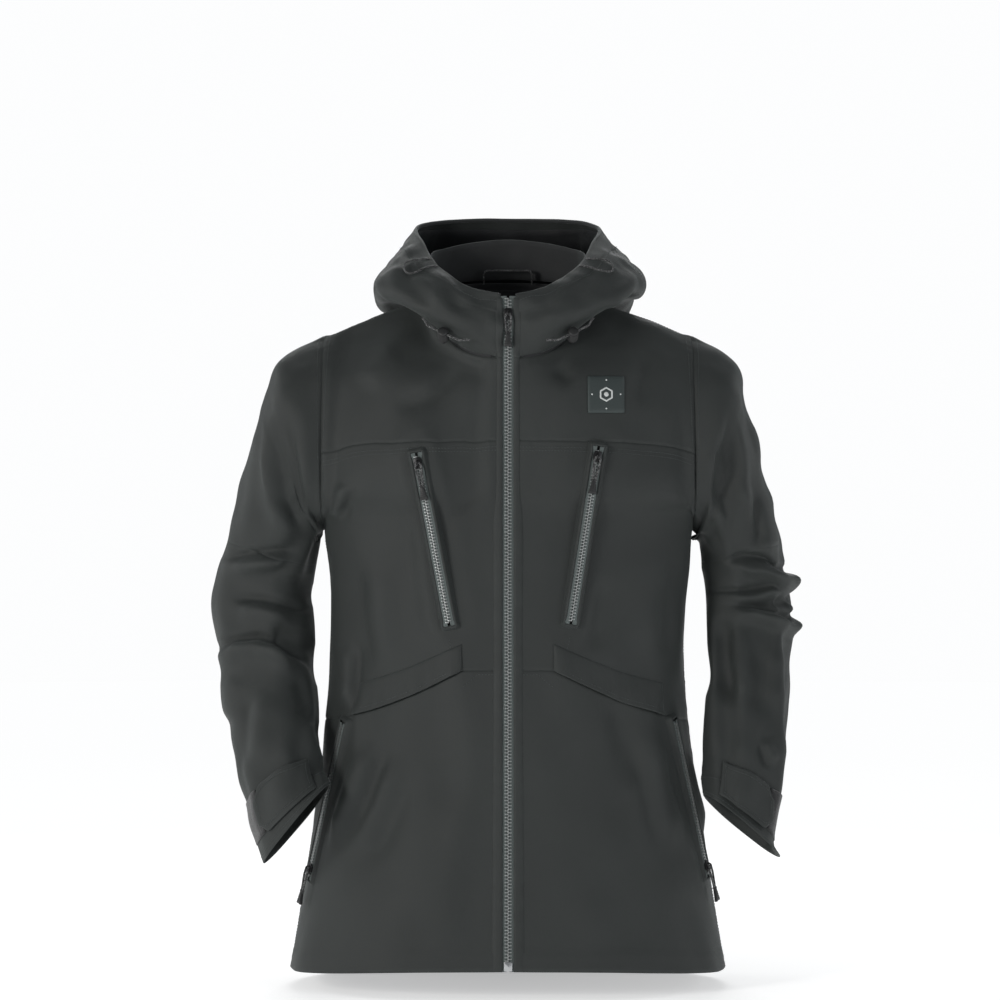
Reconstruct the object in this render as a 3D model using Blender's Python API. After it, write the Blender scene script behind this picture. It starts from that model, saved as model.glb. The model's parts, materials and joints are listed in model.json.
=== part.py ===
"""Ski jacket: a waterproof shell standing open as it does on a wearer, hood down, elbows bent.

Frame: metres, +Z up, -Y to the front, +X to the wearer's left. The origin is the centre of the back
hem's flat bottom edge, the point a pattern maker measures a jacket's back length from.

Every fabric piece is cut from one of a few smooth surfaces. A surface is a net of hand-placed points,
with columns u and rows v, and Catmull-Rom curves run through them. A piece is a patch of that surface
between two columns and two rows, given a thickness.
"""

import math

import bmesh
import bpy
import numpy as np
from mathutils import Matrix, Vector

# ---------------------------------------------------------------- driving dimensions, in metres
TORSO_Y = -0.150  # the middle of the body, in front of the back hem
ZIP_EDGE = 0.0085  # half the width of the open strip that the front zip fills
HEM_FRONT = 0.030
COLLAR_TOP = 0.765
FRONT_DEPTH_HEM = 0.146  # the front edge is one straight line, from here at the hem
FRONT_DEPTH_TOP = 0.104  # to here at the top of the collar
SHELL = 0.0016  # shell fabric with its seam tape
GAP = 0.0006  # left between neighbouring fabric pieces
SQUARENESS = 2.4  # exponent of the body's rounded section

# Body sections below the armpit: height at front, side and back, half width, depth behind the middle.
SECTIONS = (
    (HEM_FRONT, 0.018, 0.000, 0.243, 0.150),
    (0.150, 0.145, 0.140, 0.222, 0.136),
    (0.310, 0.308, 0.305, 0.199, 0.116),
    (0.420, 0.418, 0.415, 0.197, 0.117),
    (0.512, 0.507, 0.512, 0.205, 0.127),
)
COLUMN_ANGLES = (0, 20, 38, 56, 73, 90)  # degrees round from the front or back centre to the side

# Rows above the armpit, from the centre to the armhole's edge: x, depth and height of each column.
# The last row runs along the neckline, then along the shoulder seam.
FRONT_TOP = (
    ((ZIP_EDGE, 0.053, 0.105, 0.150, 0.186, 0.207), (0, 0.1200, 0.1165, 0.1050, 0.087, 0.053),
     (0.553, 0.553, 0.552, 0.550, 0.545, 0.532)),
    ((ZIP_EDGE, 0.051, 0.100, 0.145, 0.182, 0.207), (0, 0.1175, 0.1135, 0.1020, 0.087, 0.070),
     (0.607, 0.607, 0.606, 0.604, 0.600, 0.592)),
    ((ZIP_EDGE, 0.048, 0.091, 0.131, 0.170, 0.206), (0, 0.111, 0.103, 0.089, 0.073, 0.059),
     (0.655, 0.661, 0.671, 0.679, 0.681, 0.670)),
    ((ZIP_EDGE, 0.047, 0.085, 0.114, 0.161, 0.206), (0, 0.101, 0.082, 0.052, 0.037, 0.029),
     (0.680, 0.687, 0.705, 0.728, 0.722, 0.706)),
    ((ZIP_EDGE, 0.045, 0.078, 0.092, 0.150, 0.205), (0, 0.092, 0.058, 0.006, -0.002, -0.004),
     (0.697, 0.705, 0.732, 0.765, 0.749, 0.725)),
)
BACK_TOP = (
    ((0, 0.055, 0.105, 0.150, 0.186, 0.207), (0.131, 0.130, 0.124, 0.111, 0.090, 0.053),
     (0.560, 0.560, 0.558, 0.555, 0.546, 0.532)),
    ((0, 0.053, 0.104, 0.148, 0.182, 0.207), (0.129, 0.128, 0.121, 0.107, 0.091, 0.076),
     (0.620, 0.620, 0.618, 0.612, 0.604, 0.595)),
    ((0, 0.050, 0.098, 0.138, 0.172, 0.206), (0.117, 0.115, 0.106, 0.091, 0.077, 0.065),
     (0.680, 0.680, 0.678, 0.676, 0.672, 0.666)),
    ((0, 0.046, 0.088, 0.121, 0.165, 0.206), (0.097, 0.093, 0.079, 0.059, 0.047, 0.038),
     (0.731, 0.731, 0.730, 0.729, 0.719, 0.703)),
    ((0, 0.040, 0.075, 0.092, 0.150, 0.205), (0.067, 0.059, 0.033, -0.006, 0.002, 0.004),
     (0.777, 0.776, 0.772, 0.765, 0.749, 0.725)),
)
ARMPIT_ROW = len(SECTIONS) - 1
YOKE_ROW = ARMPIT_ROW + 2
TOP_ROW = ARMPIT_ROW + len(FRONT_TOP)
LAST_COLUMN = len(COLUMN_ANGLES) - 1

# Sleeve rings from the shoulder to the cuff, written for the wearer's left: centre (x, depth behind
# the middle, z), the way the arm points there, radius outwards and radius to the front.
SLEEVE_RINGS = {
    "right": (
        ((0.2365, 0.005, 0.6010), (0.97, 0.02, -0.24), 0.0955, 0.083),
        ((0.2435, 0.009, 0.5753), (0.92, 0.05, -0.39), 0.0835, 0.079),
        ((0.2505, 0.013, 0.5470), (0.80, 0.08, -0.60), 0.0660, 0.074),
        ((0.2695, 0.022, 0.4805), (0.29, 0.03, -0.96), 0.0510, 0.068),
        ((0.2795, 0.024, 0.4300), (-0.05, -0.25, -0.97), 0.055, 0.064),
        ((0.2740, 0.004, 0.3780), (-0.16, -0.42, -0.88), 0.053, 0.060),
        ((0.2650, -0.030, 0.3100), (-0.18, -0.45, -0.87), 0.050, 0.055),
        ((0.2500, -0.072, 0.2450), (-0.35, -0.42, -0.84), 0.049, 0.050),
        ((0.2310, -0.110, 0.1880), (-0.75, -0.12, -0.62), 0.056, 0.039),
    ),
    "left": (
        ((0.2365, 0.005, 0.6010), (0.97, 0.02, -0.24), 0.0955, 0.083),
        ((0.2432, 0.009, 0.5753), (0.92, 0.05, -0.39), 0.0832, 0.079),
        ((0.2500, 0.013, 0.5480), (0.80, 0.08, -0.60), 0.0655, 0.074),
        ((0.2690, 0.022, 0.4835), (0.27, 0.03, -0.96), 0.0505, 0.068),
        ((0.2785, 0.026, 0.4350), (-0.03, -0.22, -0.97), 0.054, 0.064),
        ((0.2760, 0.010, 0.3820), (-0.10, -0.36, -0.91), 0.053, 0.060),
        ((0.2710, -0.017, 0.3120), (-0.12, -0.38, -0.90), 0.051, 0.055),
        ((0.2650, -0.046, 0.2460), (-0.25, -0.36, -0.88), 0.050, 0.050),
        ((0.2580, -0.068, 0.1820), (-0.62, -0.16, -0.74), 0.054, 0.041),
    ),
}
SHOULDER = (0.205, 0.003, 0.690)  # joint centre on the wearer's left: x, depth, z
ELBOW_RING = 5
CUFF_RING = 9
SLEEVE_TUCK = 0.008  # how far the sleeve's head sits inside the armhole
ELBOW_TUCK = 0.009  # how far the forearm's end sits inside the upper sleeve
SIDES = {"right": -1, "left": 1}

# Hood lying open round the neck: one profile per column, from the neck seam, out round the fold
# and up to the face edge. The columns go from the front centre round to the centre back.
HOOD_COLUMNS = (
    ((0.009, -0.109, 0.700), (0.009, -0.1085, 0.714), (0.009, -0.1075, 0.728),
     (0.009, -0.1065, 0.742), (0.009, -0.1055, 0.754), (0.009, -0.104, 0.766)),
    ((0.046, -0.097, 0.709), (0.052, -0.107, 0.722), (0.058, -0.113, 0.738),
     (0.058, -0.112, 0.755), (0.052, -0.104, 0.768), (0.043, -0.090, 0.776)),
    ((0.081, -0.062, 0.736), (0.098, -0.078, 0.746), (0.117, -0.086, 0.758),
     (0.121, -0.083, 0.774), (0.105, -0.070, 0.792), (0.078, -0.052, 0.800)),
    ((0.098, -0.008, 0.771), (0.124, -0.016, 0.768), (0.146, -0.020, 0.772),
     (0.147, -0.016, 0.788), (0.124, -0.006, 0.812), (0.095, 0.004, 0.828)),
    ((0.084, 0.034, 0.780), (0.106, 0.062, 0.762), (0.132, 0.082, 0.748),
     (0.144, 0.088, 0.768), (0.130, 0.082, 0.812), (0.104, 0.070, 0.850)),
    ((0.048, 0.062, 0.786), (0.060, 0.112, 0.725), (0.074, 0.142, 0.664),
     (0.092, 0.172, 0.672), (0.092, 0.160, 0.770), (0.068, 0.118, 0.860)),
    ((0.000, 0.071, 0.788), (0.000, 0.128, 0.700), (0.000, 0.150, 0.632),
     (0.000, 0.192, 0.636), (0.000, 0.186, 0.755), (0.000, 0.134, 0.862)),
)
HOOD_SPLIT = 3.95  # the hood proper, from this column round the back, turns at the neck
HOOD_NOTCH = 0.55  # columns left open at the face edge, so that it can
HOOD_PIVOT = (0.030, 0.768)  # depth and height of the axis through the two sides of the neck

# Cord locks under the hood's folds: the barrel's axis above the fabric, and its run of drawcord.
LOCK_LIFT = 0.0085
CORD_REACH = 0.031  # half the run
CORD_STRAIGHT = 0.019  # half its straight middle, which the lock slides on
CORD_DIP = 0.0058

# Zip sizes: coil of moulded teeth with a woven tape each side.
TAPE_THICK = 0.0006
TEETH_OUT = 0.0033  # outer edge of the teeth from the zip's middle
TEETH_IN = 0.0009
SLIDER_HALF_WIDTH = 0.0046
SLIDER_LENGTH = 0.012
PLATE = 0.0009
WEB = 0.0005  # half the thickness of the slider's post, between the two rows of teeth
BAR_LIFT = 0.0024  # the pull's bar above the slider's top plate

SEAM_CUT = 0.012  # columns or rows left open along a seam

# Front seam and flap line, as rows of the front surface.
FLAP_LEVEL = 2.38
FLAP_DROP = 0.50  # rows that the line drops towards the side
FLAP_EASE = 1.5  # columns in which two thirds of the drop happen
FLAP_HEIGHT = 0.27
FLAP_COLUMNS = (0.56, 3.0)

# The pocket zips' ends on the front surface: (u, v) at the top and at the bottom.
CHEST_ZIP = {"right": ((1.96, 5.74), (0.75, 2.88)), "left": ((1.94, 5.86), (0.81, 2.90))}
HAND_ZIP = {"right": ((3.30, 1.90), (4.02, 0.84)), "left": ((3.38, 1.92), (4.12, 0.86))}
BADGE = (0.107, 0.657)  # x and z of its middle


# ---------------------------------------------------------------- materials
def material(name, colour, roughness, metallic=0.0):
    made = bpy.data.materials.new(name)
    made.use_nodes = True
    shader = made.node_tree.nodes["Principled BSDF"]
    shader.inputs["Base Color"].default_value = (*colour, 1.0)
    shader.inputs["Roughness"].default_value = roughness
    shader.inputs["Metallic"].default_value = metallic
    return made


def make_materials():
    return {
        "shell": material("shell_fabric", (0.034, 0.038, 0.038), 0.72),
        "lining": material("lining_fabric", (0.012, 0.012, 0.013), 0.80),
        "tape": material("zip_tape", (0.100, 0.115, 0.115), 0.75),
        "teeth": material("zip_teeth", (0.30, 0.32, 0.32), 0.35, 0.3),
        "metal": material("dark_metal", (0.05, 0.05, 0.05), 0.35, 0.9),
        "rubber": material("moulded_grip", (0.012, 0.012, 0.012), 0.55),
        "cord": material("flecked_cord", (0.05, 0.05, 0.05), 0.80),
        "hook_loop": material("hook_and_loop", (0.018, 0.018, 0.018), 0.95),
        "badge": material("badge_rubber", (0.030, 0.040, 0.040), 0.60),
    }


# ---------------------------------------------------------------- surfaces
def padded(net, first=None, last=None, wrap=False):
    """The net with one row and column more on each side, so that curves reach its edges."""
    if wrap:
        net = np.concatenate([net[:, -1:], net, net[:, :2]], axis=1)
    else:
        first = 2 * net[:, :1] - net[:, 1:2] if first is None else first
        last = 2 * net[:, -1:] - net[:, -2:-1] if last is None else last
        net = np.concatenate([first, net, last], axis=1)
    return np.concatenate([2 * net[:1] - net[1:2], net, 2 * net[-1:] - net[-2:-1]])


def curve_weights(t):
    """Catmull-Rom weights of the four points round a place t between the middle two."""
    return 0.5 * np.stack(
        [-t + 2 * t**2 - t**3, 2 - 5 * t**2 + 3 * t**3, t + 4 * t**2 - 3 * t**3, t**3 - t**2], axis=-1
    )


def evaluate(net, u, v):
    """Points of the padded net's surface at columns u and rows v."""
    u, v = np.broadcast_arrays(np.asarray(u, float), np.asarray(v, float))
    column = np.clip(np.floor(u).astype(int), 0, net.shape[1] - 4)
    row = np.clip(np.floor(v).astype(int), 0, net.shape[0] - 4)
    across, up = curve_weights(u - column), curve_weights(v - row)
    points = np.zeros(u.shape + (3,))
    for i in range(4):
        for j in range(4):
            points += (up[..., i] * across[..., j])[..., None] * net[row + i, column + j]
    return points


def normals(net, u, v, outward):
    """Unit normals; outward is 1 or -1 and picks the side that faces out."""
    step = 1e-3
    along_u = evaluate(net, np.asarray(u) + step, v) - evaluate(net, np.asarray(u) - step, v)
    along_v = evaluate(net, u, np.asarray(v) + step) - evaluate(net, u, np.asarray(v) - step)
    found = np.cross(along_u, along_v) * outward
    return found / np.linalg.norm(found, axis=-1, keepdims=True)


def locate(net, x, z, guess=(2.0, 6.5)):
    """The column and row of the surface's points at x and z, by Newton's method."""
    x, z = np.broadcast_arrays(np.asarray(x, float), np.asarray(z, float))
    u, v = np.full(x.shape, guess[0]), np.full(x.shape, guess[1])
    step = 1e-3
    for _ in range(12):
        here = evaluate(net, u, v)
        along_u = (evaluate(net, u + step, v) - here) / step
        along_v = (evaluate(net, u, v + step) - here) / step
        miss_x, miss_z = x - here[..., 0], z - here[..., 2]
        turn = along_u[..., 0] * along_v[..., 2] - along_u[..., 2] * along_v[..., 0]
        u = u + (miss_x * along_v[..., 2] - miss_z * along_v[..., 0]) / turn
        v = v + (miss_z * along_u[..., 0] - miss_x * along_u[..., 2]) / turn
    return u, v


def front_line_y(z):
    """The straight front edge, which the main zip follows."""
    share = (z - HEM_FRONT) / (COLLAR_TOP - HEM_FRONT)
    return TORSO_Y - FRONT_DEPTH_HEM + share * (FRONT_DEPTH_HEM - FRONT_DEPTH_TOP)


def rounded_section(angle_deg, half_width, depth):
    angle, power = math.radians(angle_deg), 2 / SQUARENESS
    return half_width * math.sin(angle) ** power, depth * max(math.cos(angle), 0.0) ** power


def front_net():
    """The left front, from the zip's edge to the side seam and armhole."""
    rows = []
    for z_front, z_side, _, half_width, _ in SECTIONS:
        row = []
        for angle in COLUMN_ANGLES:
            z = z_front + (z_side - z_front) * math.sin(math.radians(angle)) ** 2
            x, depth = rounded_section(angle, half_width, TORSO_Y - front_line_y(z_front))
            row.append((max(x, ZIP_EDGE), TORSO_Y - depth, z))
        rows.append(row)
    for xs, depths, heights in FRONT_TOP:
        row = [(x, TORSO_Y - depth, z) for x, depth, z in zip(xs, depths, heights)]
        row[0] = (ZIP_EDGE, front_line_y(heights[0]), heights[0])
        rows.append(row)
    return np.array(rows)


def back_net():
    """The left half of the back, from the centre to the side seam and armhole."""
    rows = []
    flat_until = COLUMN_ANGLES[2]
    for _, z_side, z_back, half_width, depth_back in SECTIONS:
        row = []
        for angle in COLUMN_ANGLES:
            rise = max(0.0, (angle - flat_until) / (90 - flat_until)) ** 1.5
            x, depth = rounded_section(angle, half_width, depth_back)
            row.append((x, TORSO_Y + depth, z_back + (z_side - z_back) * rise))
        rows.append(row)
    for xs, depths, heights in BACK_TOP:
        rows.append([(x, TORSO_Y + depth, z) for x, depth, z in zip(xs, depths, heights)])
    return np.array(rows)


def mirrored(net):
    return net * np.array([-1.0, 1.0, 1.0])


def side_neighbour(own, other):
    """The column past the side seam: the other panel's, up to the armpit, and a straight run above."""
    past = 2 * own[:, -1:] - own[:, -2:-1]
    past[: ARMPIT_ROW + 1] = other[: ARMPIT_ROW + 1, -2:-1]
    return past


def make_front_surfaces():
    front, back = front_net(), back_net()
    left = padded(front, last=side_neighbour(front, back))
    right = mirrored(left)
    return {"left": left, "right": right}


def make_back_surface():
    """The whole back in one net: column 0 is the right side, LAST_COLUMN the centre."""
    front, back = front_net(), back_net()
    whole = np.concatenate([mirrored(back)[:, :0:-1], back], axis=1)
    past = side_neighbour(back, front)
    return padded(whole, first=mirrored(past), last=past)


def armhole_loop(side):
    """Points round the armhole: from the armpit up the front edge, over the top and down the back."""
    front, back = front_net(), back_net()
    loop = [front[row, LAST_COLUMN] for row in range(ARMPIT_ROW, TOP_ROW + 1)]
    loop += [back[row, LAST_COLUMN] for row in range(TOP_ROW - 1, ARMPIT_ROW, -1)]
    return np.array(loop) * np.array([SIDES[side], 1, 1])


def sleeve_net(side):
    """Rows are rings from the armhole to the cuff; columns start at the armpit and go by the front."""
    sign = SIDES[side]
    loop = armhole_loop(side)
    lengths = np.linalg.norm(np.roll(loop, -1, axis=0) - loop, axis=1)
    turns = np.concatenate([[0], np.cumsum(lengths)[:-1]]) / lengths.sum() * 2 * math.pi
    middle = np.array([loop[0, 0], loop[:, 1].mean(), 0.618])
    inward = middle - loop
    inward /= np.linalg.norm(inward, axis=1, keepdims=True)
    inward[:, 0] = sign * 0.3
    rings = [loop + inward * SLEEVE_TUCK]
    for (x, depth, z), heading, out_radius, front_radius in SLEEVE_RINGS[side]:
        centre = np.array([sign * x, TORSO_Y + depth, z])
        along = np.array([sign * heading[0], heading[1], heading[2]])
        along /= np.linalg.norm(along)
        front = np.array([0.0, -1.0, 0.0])
        front -= front.dot(along) * along
        front /= np.linalg.norm(front)
        out = np.cross(front, along) * sign
        rings.append(
            [centre - out * out_radius * math.cos(t) + front * front_radius * math.sin(t) for t in turns]
        )
    return padded(np.array(rings), wrap=True)


def hood_net():
    """Rows go up the profile from the neck seam; column 0 is the left front, the middle is the back."""
    half = np.array([[(x, TORSO_Y + depth, z) for x, depth, z in column] for column in HOOD_COLUMNS])
    whole = np.concatenate([half, mirrored(half)[-2::-1]])
    return padded(whole.transpose(1, 0, 2))


# ---------------------------------------------------------------- building solids
def new_object(name, mesh, finish):
    obj = bpy.data.objects.new(name, mesh)
    obj.data.materials.append(finish)
    bpy.context.scene.collection.objects.link(obj)
    return obj


def finish_mesh(name, bm, finish, smooth=True):
    bmesh.ops.remove_doubles(bm, verts=bm.verts, dist=1e-6)
    bmesh.ops.recalc_face_normals(bm, faces=bm.faces)
    mesh = bpy.data.meshes.new(name)
    bm.to_mesh(mesh)
    bm.free()
    if smooth:
        mesh.shade_smooth()
        mesh.set_sharp_from_angle(angle=math.radians(40))
    return new_object(name, mesh, finish)


def add_grid(bm, points, closed_u=False):
    """Adds a grid's vertices and faces, and returns its vertices, row by row."""
    verts = [[bm.verts.new(p) for p in row] for row in points]
    columns = len(points[0])
    for low, high in zip(verts, verts[1:]):
        for j in range(columns if closed_u else columns - 1):
            k = (j + 1) % columns
            bm.faces.new((low[j], low[k], high[k], high[j]))
    return verts


def join_edges(bm, first, second, closed=False):
    count = len(first)
    for i in range(count if closed else count - 1):
        k = (i + 1) % count
        bm.faces.new((first[i], first[k], second[k], second[i]))


def thick_sheet(name, outer, inner, finish, closed_u=False):
    """A closed solid between two grids of the same shape."""
    bm = bmesh.new()
    a, b = add_grid(bm, outer, closed_u), add_grid(bm, inner, closed_u)
    join_edges(bm, a[0], b[0], closed_u)
    join_edges(bm, a[-1], b[-1], closed_u)
    if not closed_u:
        join_edges(bm, [row[0] for row in a], [row[0] for row in b])
        join_edges(bm, [row[-1] for row in a], [row[-1] for row in b])
    return finish_mesh(name, bm, finish)


def patch(name, net, outward, u, v, finish, lift=0.0, thick=SHELL, level_rows=(), closed_u=False):
    """A piece of a surface: u and v are grids of columns and rows, lift its height off the surface."""
    u, v = np.broadcast_arrays(u, v)
    points, out = evaluate(net, u, v), normals(net, u, v, outward)
    for row in level_rows:  # an edge that is cut level, so that its rim is flat
        out[row, :, 2] = 0
        out[row] /= np.linalg.norm(out[row], axis=-1, keepdims=True)
    top, bottom = points + out * lift, points + out * (lift - thick)
    return thick_sheet(name, top, bottom, finish, closed_u)


def add_box(bm, x, y, z):
    """A box between the given low and high x, y and z."""
    made = bmesh.ops.create_cube(bm, size=1.0)["verts"]
    size = Matrix.Diagonal((x[1] - x[0], y[1] - y[0], z[1] - z[0], 1.0))
    middle = Vector(((x[0] + x[1]) / 2, (y[0] + y[1]) / 2, (z[0] + z[1]) / 2))
    bmesh.ops.transform(bm, matrix=Matrix.Translation(middle) @ size, verts=made)


def box(name, x, y, z, finish):
    bm = bmesh.new()
    add_box(bm, x, y, z)
    return finish_mesh(name, bm, finish, smooth=False)


def combine(target, tool, operation="UNION"):
    """Applies a Boolean of tool on target, then removes tool."""
    modifier = target.modifiers.new(operation.lower(), "BOOLEAN")
    modifier.operation, modifier.object, modifier.solver = operation, tool, "EXACT"
    graph = bpy.context.evaluated_depsgraph_get()
    mesh = bpy.data.meshes.new_from_object(target.evaluated_get(graph))
    target.modifiers.clear()
    target.data = mesh
    bpy.data.objects.remove(tool)
    return target


def tube(name, path, radius, finish, sides=8):
    """A round cord along a path, closed at both ends."""
    path = np.array(path, float)
    tangents = np.gradient(path, axis=0)
    tangents /= np.linalg.norm(tangents, axis=1, keepdims=True)
    guide = Vector(tangents[0]).orthogonal().normalized()
    bm, rings = bmesh.new(), []
    for point, tangent in zip(path, tangents):
        axis = Vector(tangent)
        guide = (guide - guide.dot(axis) * axis).normalized()
        other = axis.cross(guide)
        turns = [2 * math.pi * k / sides for k in range(sides)]
        offsets = [radius * (guide * math.cos(t) + other * math.sin(t)) for t in turns]
        rings.append([bm.verts.new(Vector(point) + offset) for offset in offsets])
    for low, high in zip(rings, rings[1:]):
        join_edges(bm, low, high, closed=True)
    bm.faces.new(rings[0])
    bm.faces.new(rings[-1])
    return finish_mesh(name, bm, finish)


def turned(name, profile, finish, sides=16):
    """A body turned about its own Z axis, from a profile of (radius, z) that starts and ends on the axis."""
    bm, rings = bmesh.new(), []
    for radius, z in profile:
        if radius < 1e-9:
            rings.append([bm.verts.new((0, 0, z))])
            continue
        turns = [2 * math.pi * k / sides for k in range(sides)]
        rings.append([bm.verts.new((radius * math.cos(t), radius * math.sin(t), z)) for t in turns])
    for low, high in zip(rings, rings[1:]):
        for k in range(sides):
            n = (k + 1) % sides
            corners = [low[k % len(low)], low[n % len(low)], high[n % len(high)], high[k % len(high)]]
            bm.faces.new(list(dict.fromkeys(corners)))
    return finish_mesh(name, bm, finish)


def frame_matrix(origin, along, outward):
    """Local axes of a zip: X across it, Y out of the fabric, Z up along it."""
    z = Vector(along).normalized()
    y = Vector(outward)
    y = (y - y.dot(z) * z).normalized()
    x = y.cross(z)
    turn = Matrix((x, y, z)).transposed().to_4x4()
    return Matrix.Translation(Vector(origin)) @ turn


def pivot(name, location, axis, parent=None):
    """An empty on a joint's axis, with its local Z along it."""
    empty = bpy.data.objects.new(name, None)
    turn = Vector(axis).normalized().to_track_quat("Z", "Y").to_matrix().to_4x4()
    empty.matrix_world = Matrix.Translation(Vector(location)) @ turn
    bpy.context.scene.collection.objects.link(empty)
    bpy.context.view_layer.update()
    if parent:
        hang_on(empty, parent)
    return empty


def opening_axis(hinge, direction, free_end, outward):
    """The hinge direction's sign that turns the free end outwards when the angle is positive."""
    lift = np.cross(direction, free_end - hinge).dot(outward)
    return np.asarray(direction) * np.sign(lift)


def hang_on(child, parent):
    """Parents child without moving it."""
    bpy.context.view_layer.update()
    child.parent = parent
    child.matrix_parent_inverse = parent.matrix_world.inverted()


# ---------------------------------------------------------------- body panels
def flap_line(u):
    """The row of the seam across the lower front: level near the zip, then curving down to the side."""
    reach = np.maximum(0.0, np.asarray(u) - FLAP_COLUMNS[0])
    return FLAP_LEVEL - FLAP_DROP * (1 - np.exp(-reach / FLAP_EASE))


def between(low, high, steps):
    """A grid of rows from the curve low to the curve high, each given per column."""
    share = np.linspace(0, 1, steps + 1)[:, None]
    return low[None, :] + (high - low)[None, :] * share


def hump(t, start):
    """0 up to start and from start + 1 on, and 1 half way between."""
    inside = np.clip(np.asarray(t) - start, 0, 1)
    return 4 * inside * (1 - inside)


def side_cut(v):
    """Columns trimmed off at the side seam: more under the armpit, where front and back curves cross."""
    return SEAM_CUT + 0.095 * hump(v, ARMPIT_ROW - 1)


def shoulder_cut(u):
    """Rows trimmed off at the shoulder seam. Next to the neck the front and back curves cross."""
    return 2 * SEAM_CUT + 0.11 * hump(u, LAST_COLUMN - 2)


def front_panels(fronts, finishes):
    for side, net in fronts.items():
        columns = np.linspace(0, LAST_COLUMN, 11)
        seam, yoke = flap_line(columns), np.full_like(columns, YOKE_ROW)
        bounds = {
            "lower_panel": (np.zeros_like(columns), seam - SEAM_CUT / 2, 5),
            "chest_panel": (seam + SEAM_CUT / 2, yoke - SEAM_CUT, 9),
            "front_yoke": (yoke, TOP_ROW - shoulder_cut(columns), 6),
        }
        for part, (low, high, steps) in bounds.items():
            v = between(low, high, steps)
            u = columns * (1 - side_cut(v) / LAST_COLUMN)
            patch(f"{side}_{part}", net, SIDES[side], u, v, finishes["shell"])


def back_panels(back, finishes):
    share = np.linspace(-1, 1, 21)
    columns = LAST_COLUMN * (1 + share)
    yoke = np.full_like(columns, YOKE_ROW)
    top = TOP_ROW - shoulder_cut(LAST_COLUMN * np.abs(share))
    bounds = {"back_panel": (0 * yoke, yoke - SEAM_CUT, 13), "back_yoke": (yoke, top, 6)}
    for part, (low, high, steps) in bounds.items():
        v = between(low, high, steps)
        u = LAST_COLUMN + share * (LAST_COLUMN - side_cut(v))
        level = (0,) if part == "back_panel" else ()
        patch(part, back, -1, u, v, finishes["shell"], level_rows=level)


def pocket_bags(fronts, finishes):
    """Flat bags behind the pocket zips, between the shell and the lining."""
    places = {"chest_pocket_bag": ((0.6, 2.9), (2.9, 5.9)), "hand_pocket_bag": ((1.4, 4.3), (0.5, 2.1))}
    for side, net in fronts.items():
        for part, (columns, rows) in places.items():
            u, v = np.linspace(*columns, 6), np.linspace(*rows, 10)[:, None]
            patch(f"{side}_{part}", net, SIDES[side], u, v, finishes["lining"], lift=-0.0032, thick=0.0012)


def body_lining(fronts, back, finishes):
    """One sheet inside the shell, round the body from zip edge to zip edge, open at the armholes."""
    inset, thick = 0.0076, 0.0010
    rows = (0.35, 0.9, 1.4, 1.9, 2.4, 2.9, 3.4, 3.8, 4.2, 4.7, 5.3, 6.0, 6.9, 7.8, TOP_ROW - 0.35)
    v = np.array(rows)[:, None]
    armhole = 0.5 * np.clip((v - 3.8) / 0.9, 0, 1)  # columns left out round the sleeve's end
    grids = []
    for side, net in fronts.items():
        u = np.linspace(0, 1, 6) * (LAST_COLUMN - 0.25 - armhole) + 0.25
        grids.append((net, SIDES[side], u))
    share = np.linspace(-1, 1, 11)
    grids.append((back, -1, LAST_COLUMN + share * (LAST_COLUMN - armhole)))
    sheets = []
    for net, outward, u in grids:
        grid_u, grid_v = np.broadcast_arrays(u, v)
        out = normals(net, grid_u, grid_v, outward)
        sheets.append(evaluate(net, grid_u, grid_v) - out * inset)
    left, right, whole = sheets
    for row in range(int((v <= ARMPIT_ROW).sum())):  # the side seams, where the sheets meet
        for front, column in ((left, -1), (right, 0)):
            meet = (front[row, -1] + whole[row, column]) / 2
            front[row, -1] = whole[row, column] = meet
    bm = bmesh.new()
    for sheet in sheets:
        add_grid(bm, sheet)
    lining = finish_mesh("body_lining", bm, finishes["lining"])
    solidify = lining.modifiers.new("thickness", "SOLIDIFY")
    solidify.thickness, solidify.offset = thick, 0.0
    return lining


def powder_skirt(fronts, back, finishes):
    """The snow skirt: an elastic band hanging inside the waist, open at the front."""
    top, bottom = 2.0, 1.0
    rows = np.linspace(bottom, top, 4)[:, None]
    inset = np.linspace(0.034, 0.014, 4)[:, None, None]
    sheets = []
    for net, outward, u in (
        (fronts["left"], 1, np.linspace(0.9, LAST_COLUMN, 6)[::-1]),
        (fronts["right"], -1, np.linspace(0.9, LAST_COLUMN, 6)),
    ):
        grid_u, grid_v = np.broadcast_arrays(u, rows)
        sheets.append(evaluate(net, grid_u, grid_v) - normals(net, grid_u, grid_v, outward) * inset)
    grid_u, grid_v = np.broadcast_arrays(np.linspace(0, 2 * LAST_COLUMN, 11), rows)
    middle = evaluate(back, grid_u, grid_v) - normals(back, grid_u, grid_v, -1) * inset
    ring = np.concatenate([sheets[1][:, :-1], middle, sheets[0][:, 1:]], axis=1)
    sideways = np.gradient(ring, axis=1)
    out = np.cross(np.gradient(ring, axis=0), sideways)
    out /= np.linalg.norm(out, axis=-1, keepdims=True)
    thick_sheet("powder_skirt", ring + out * 0.0006, ring - out * 0.0006, finishes["lining"])


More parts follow.
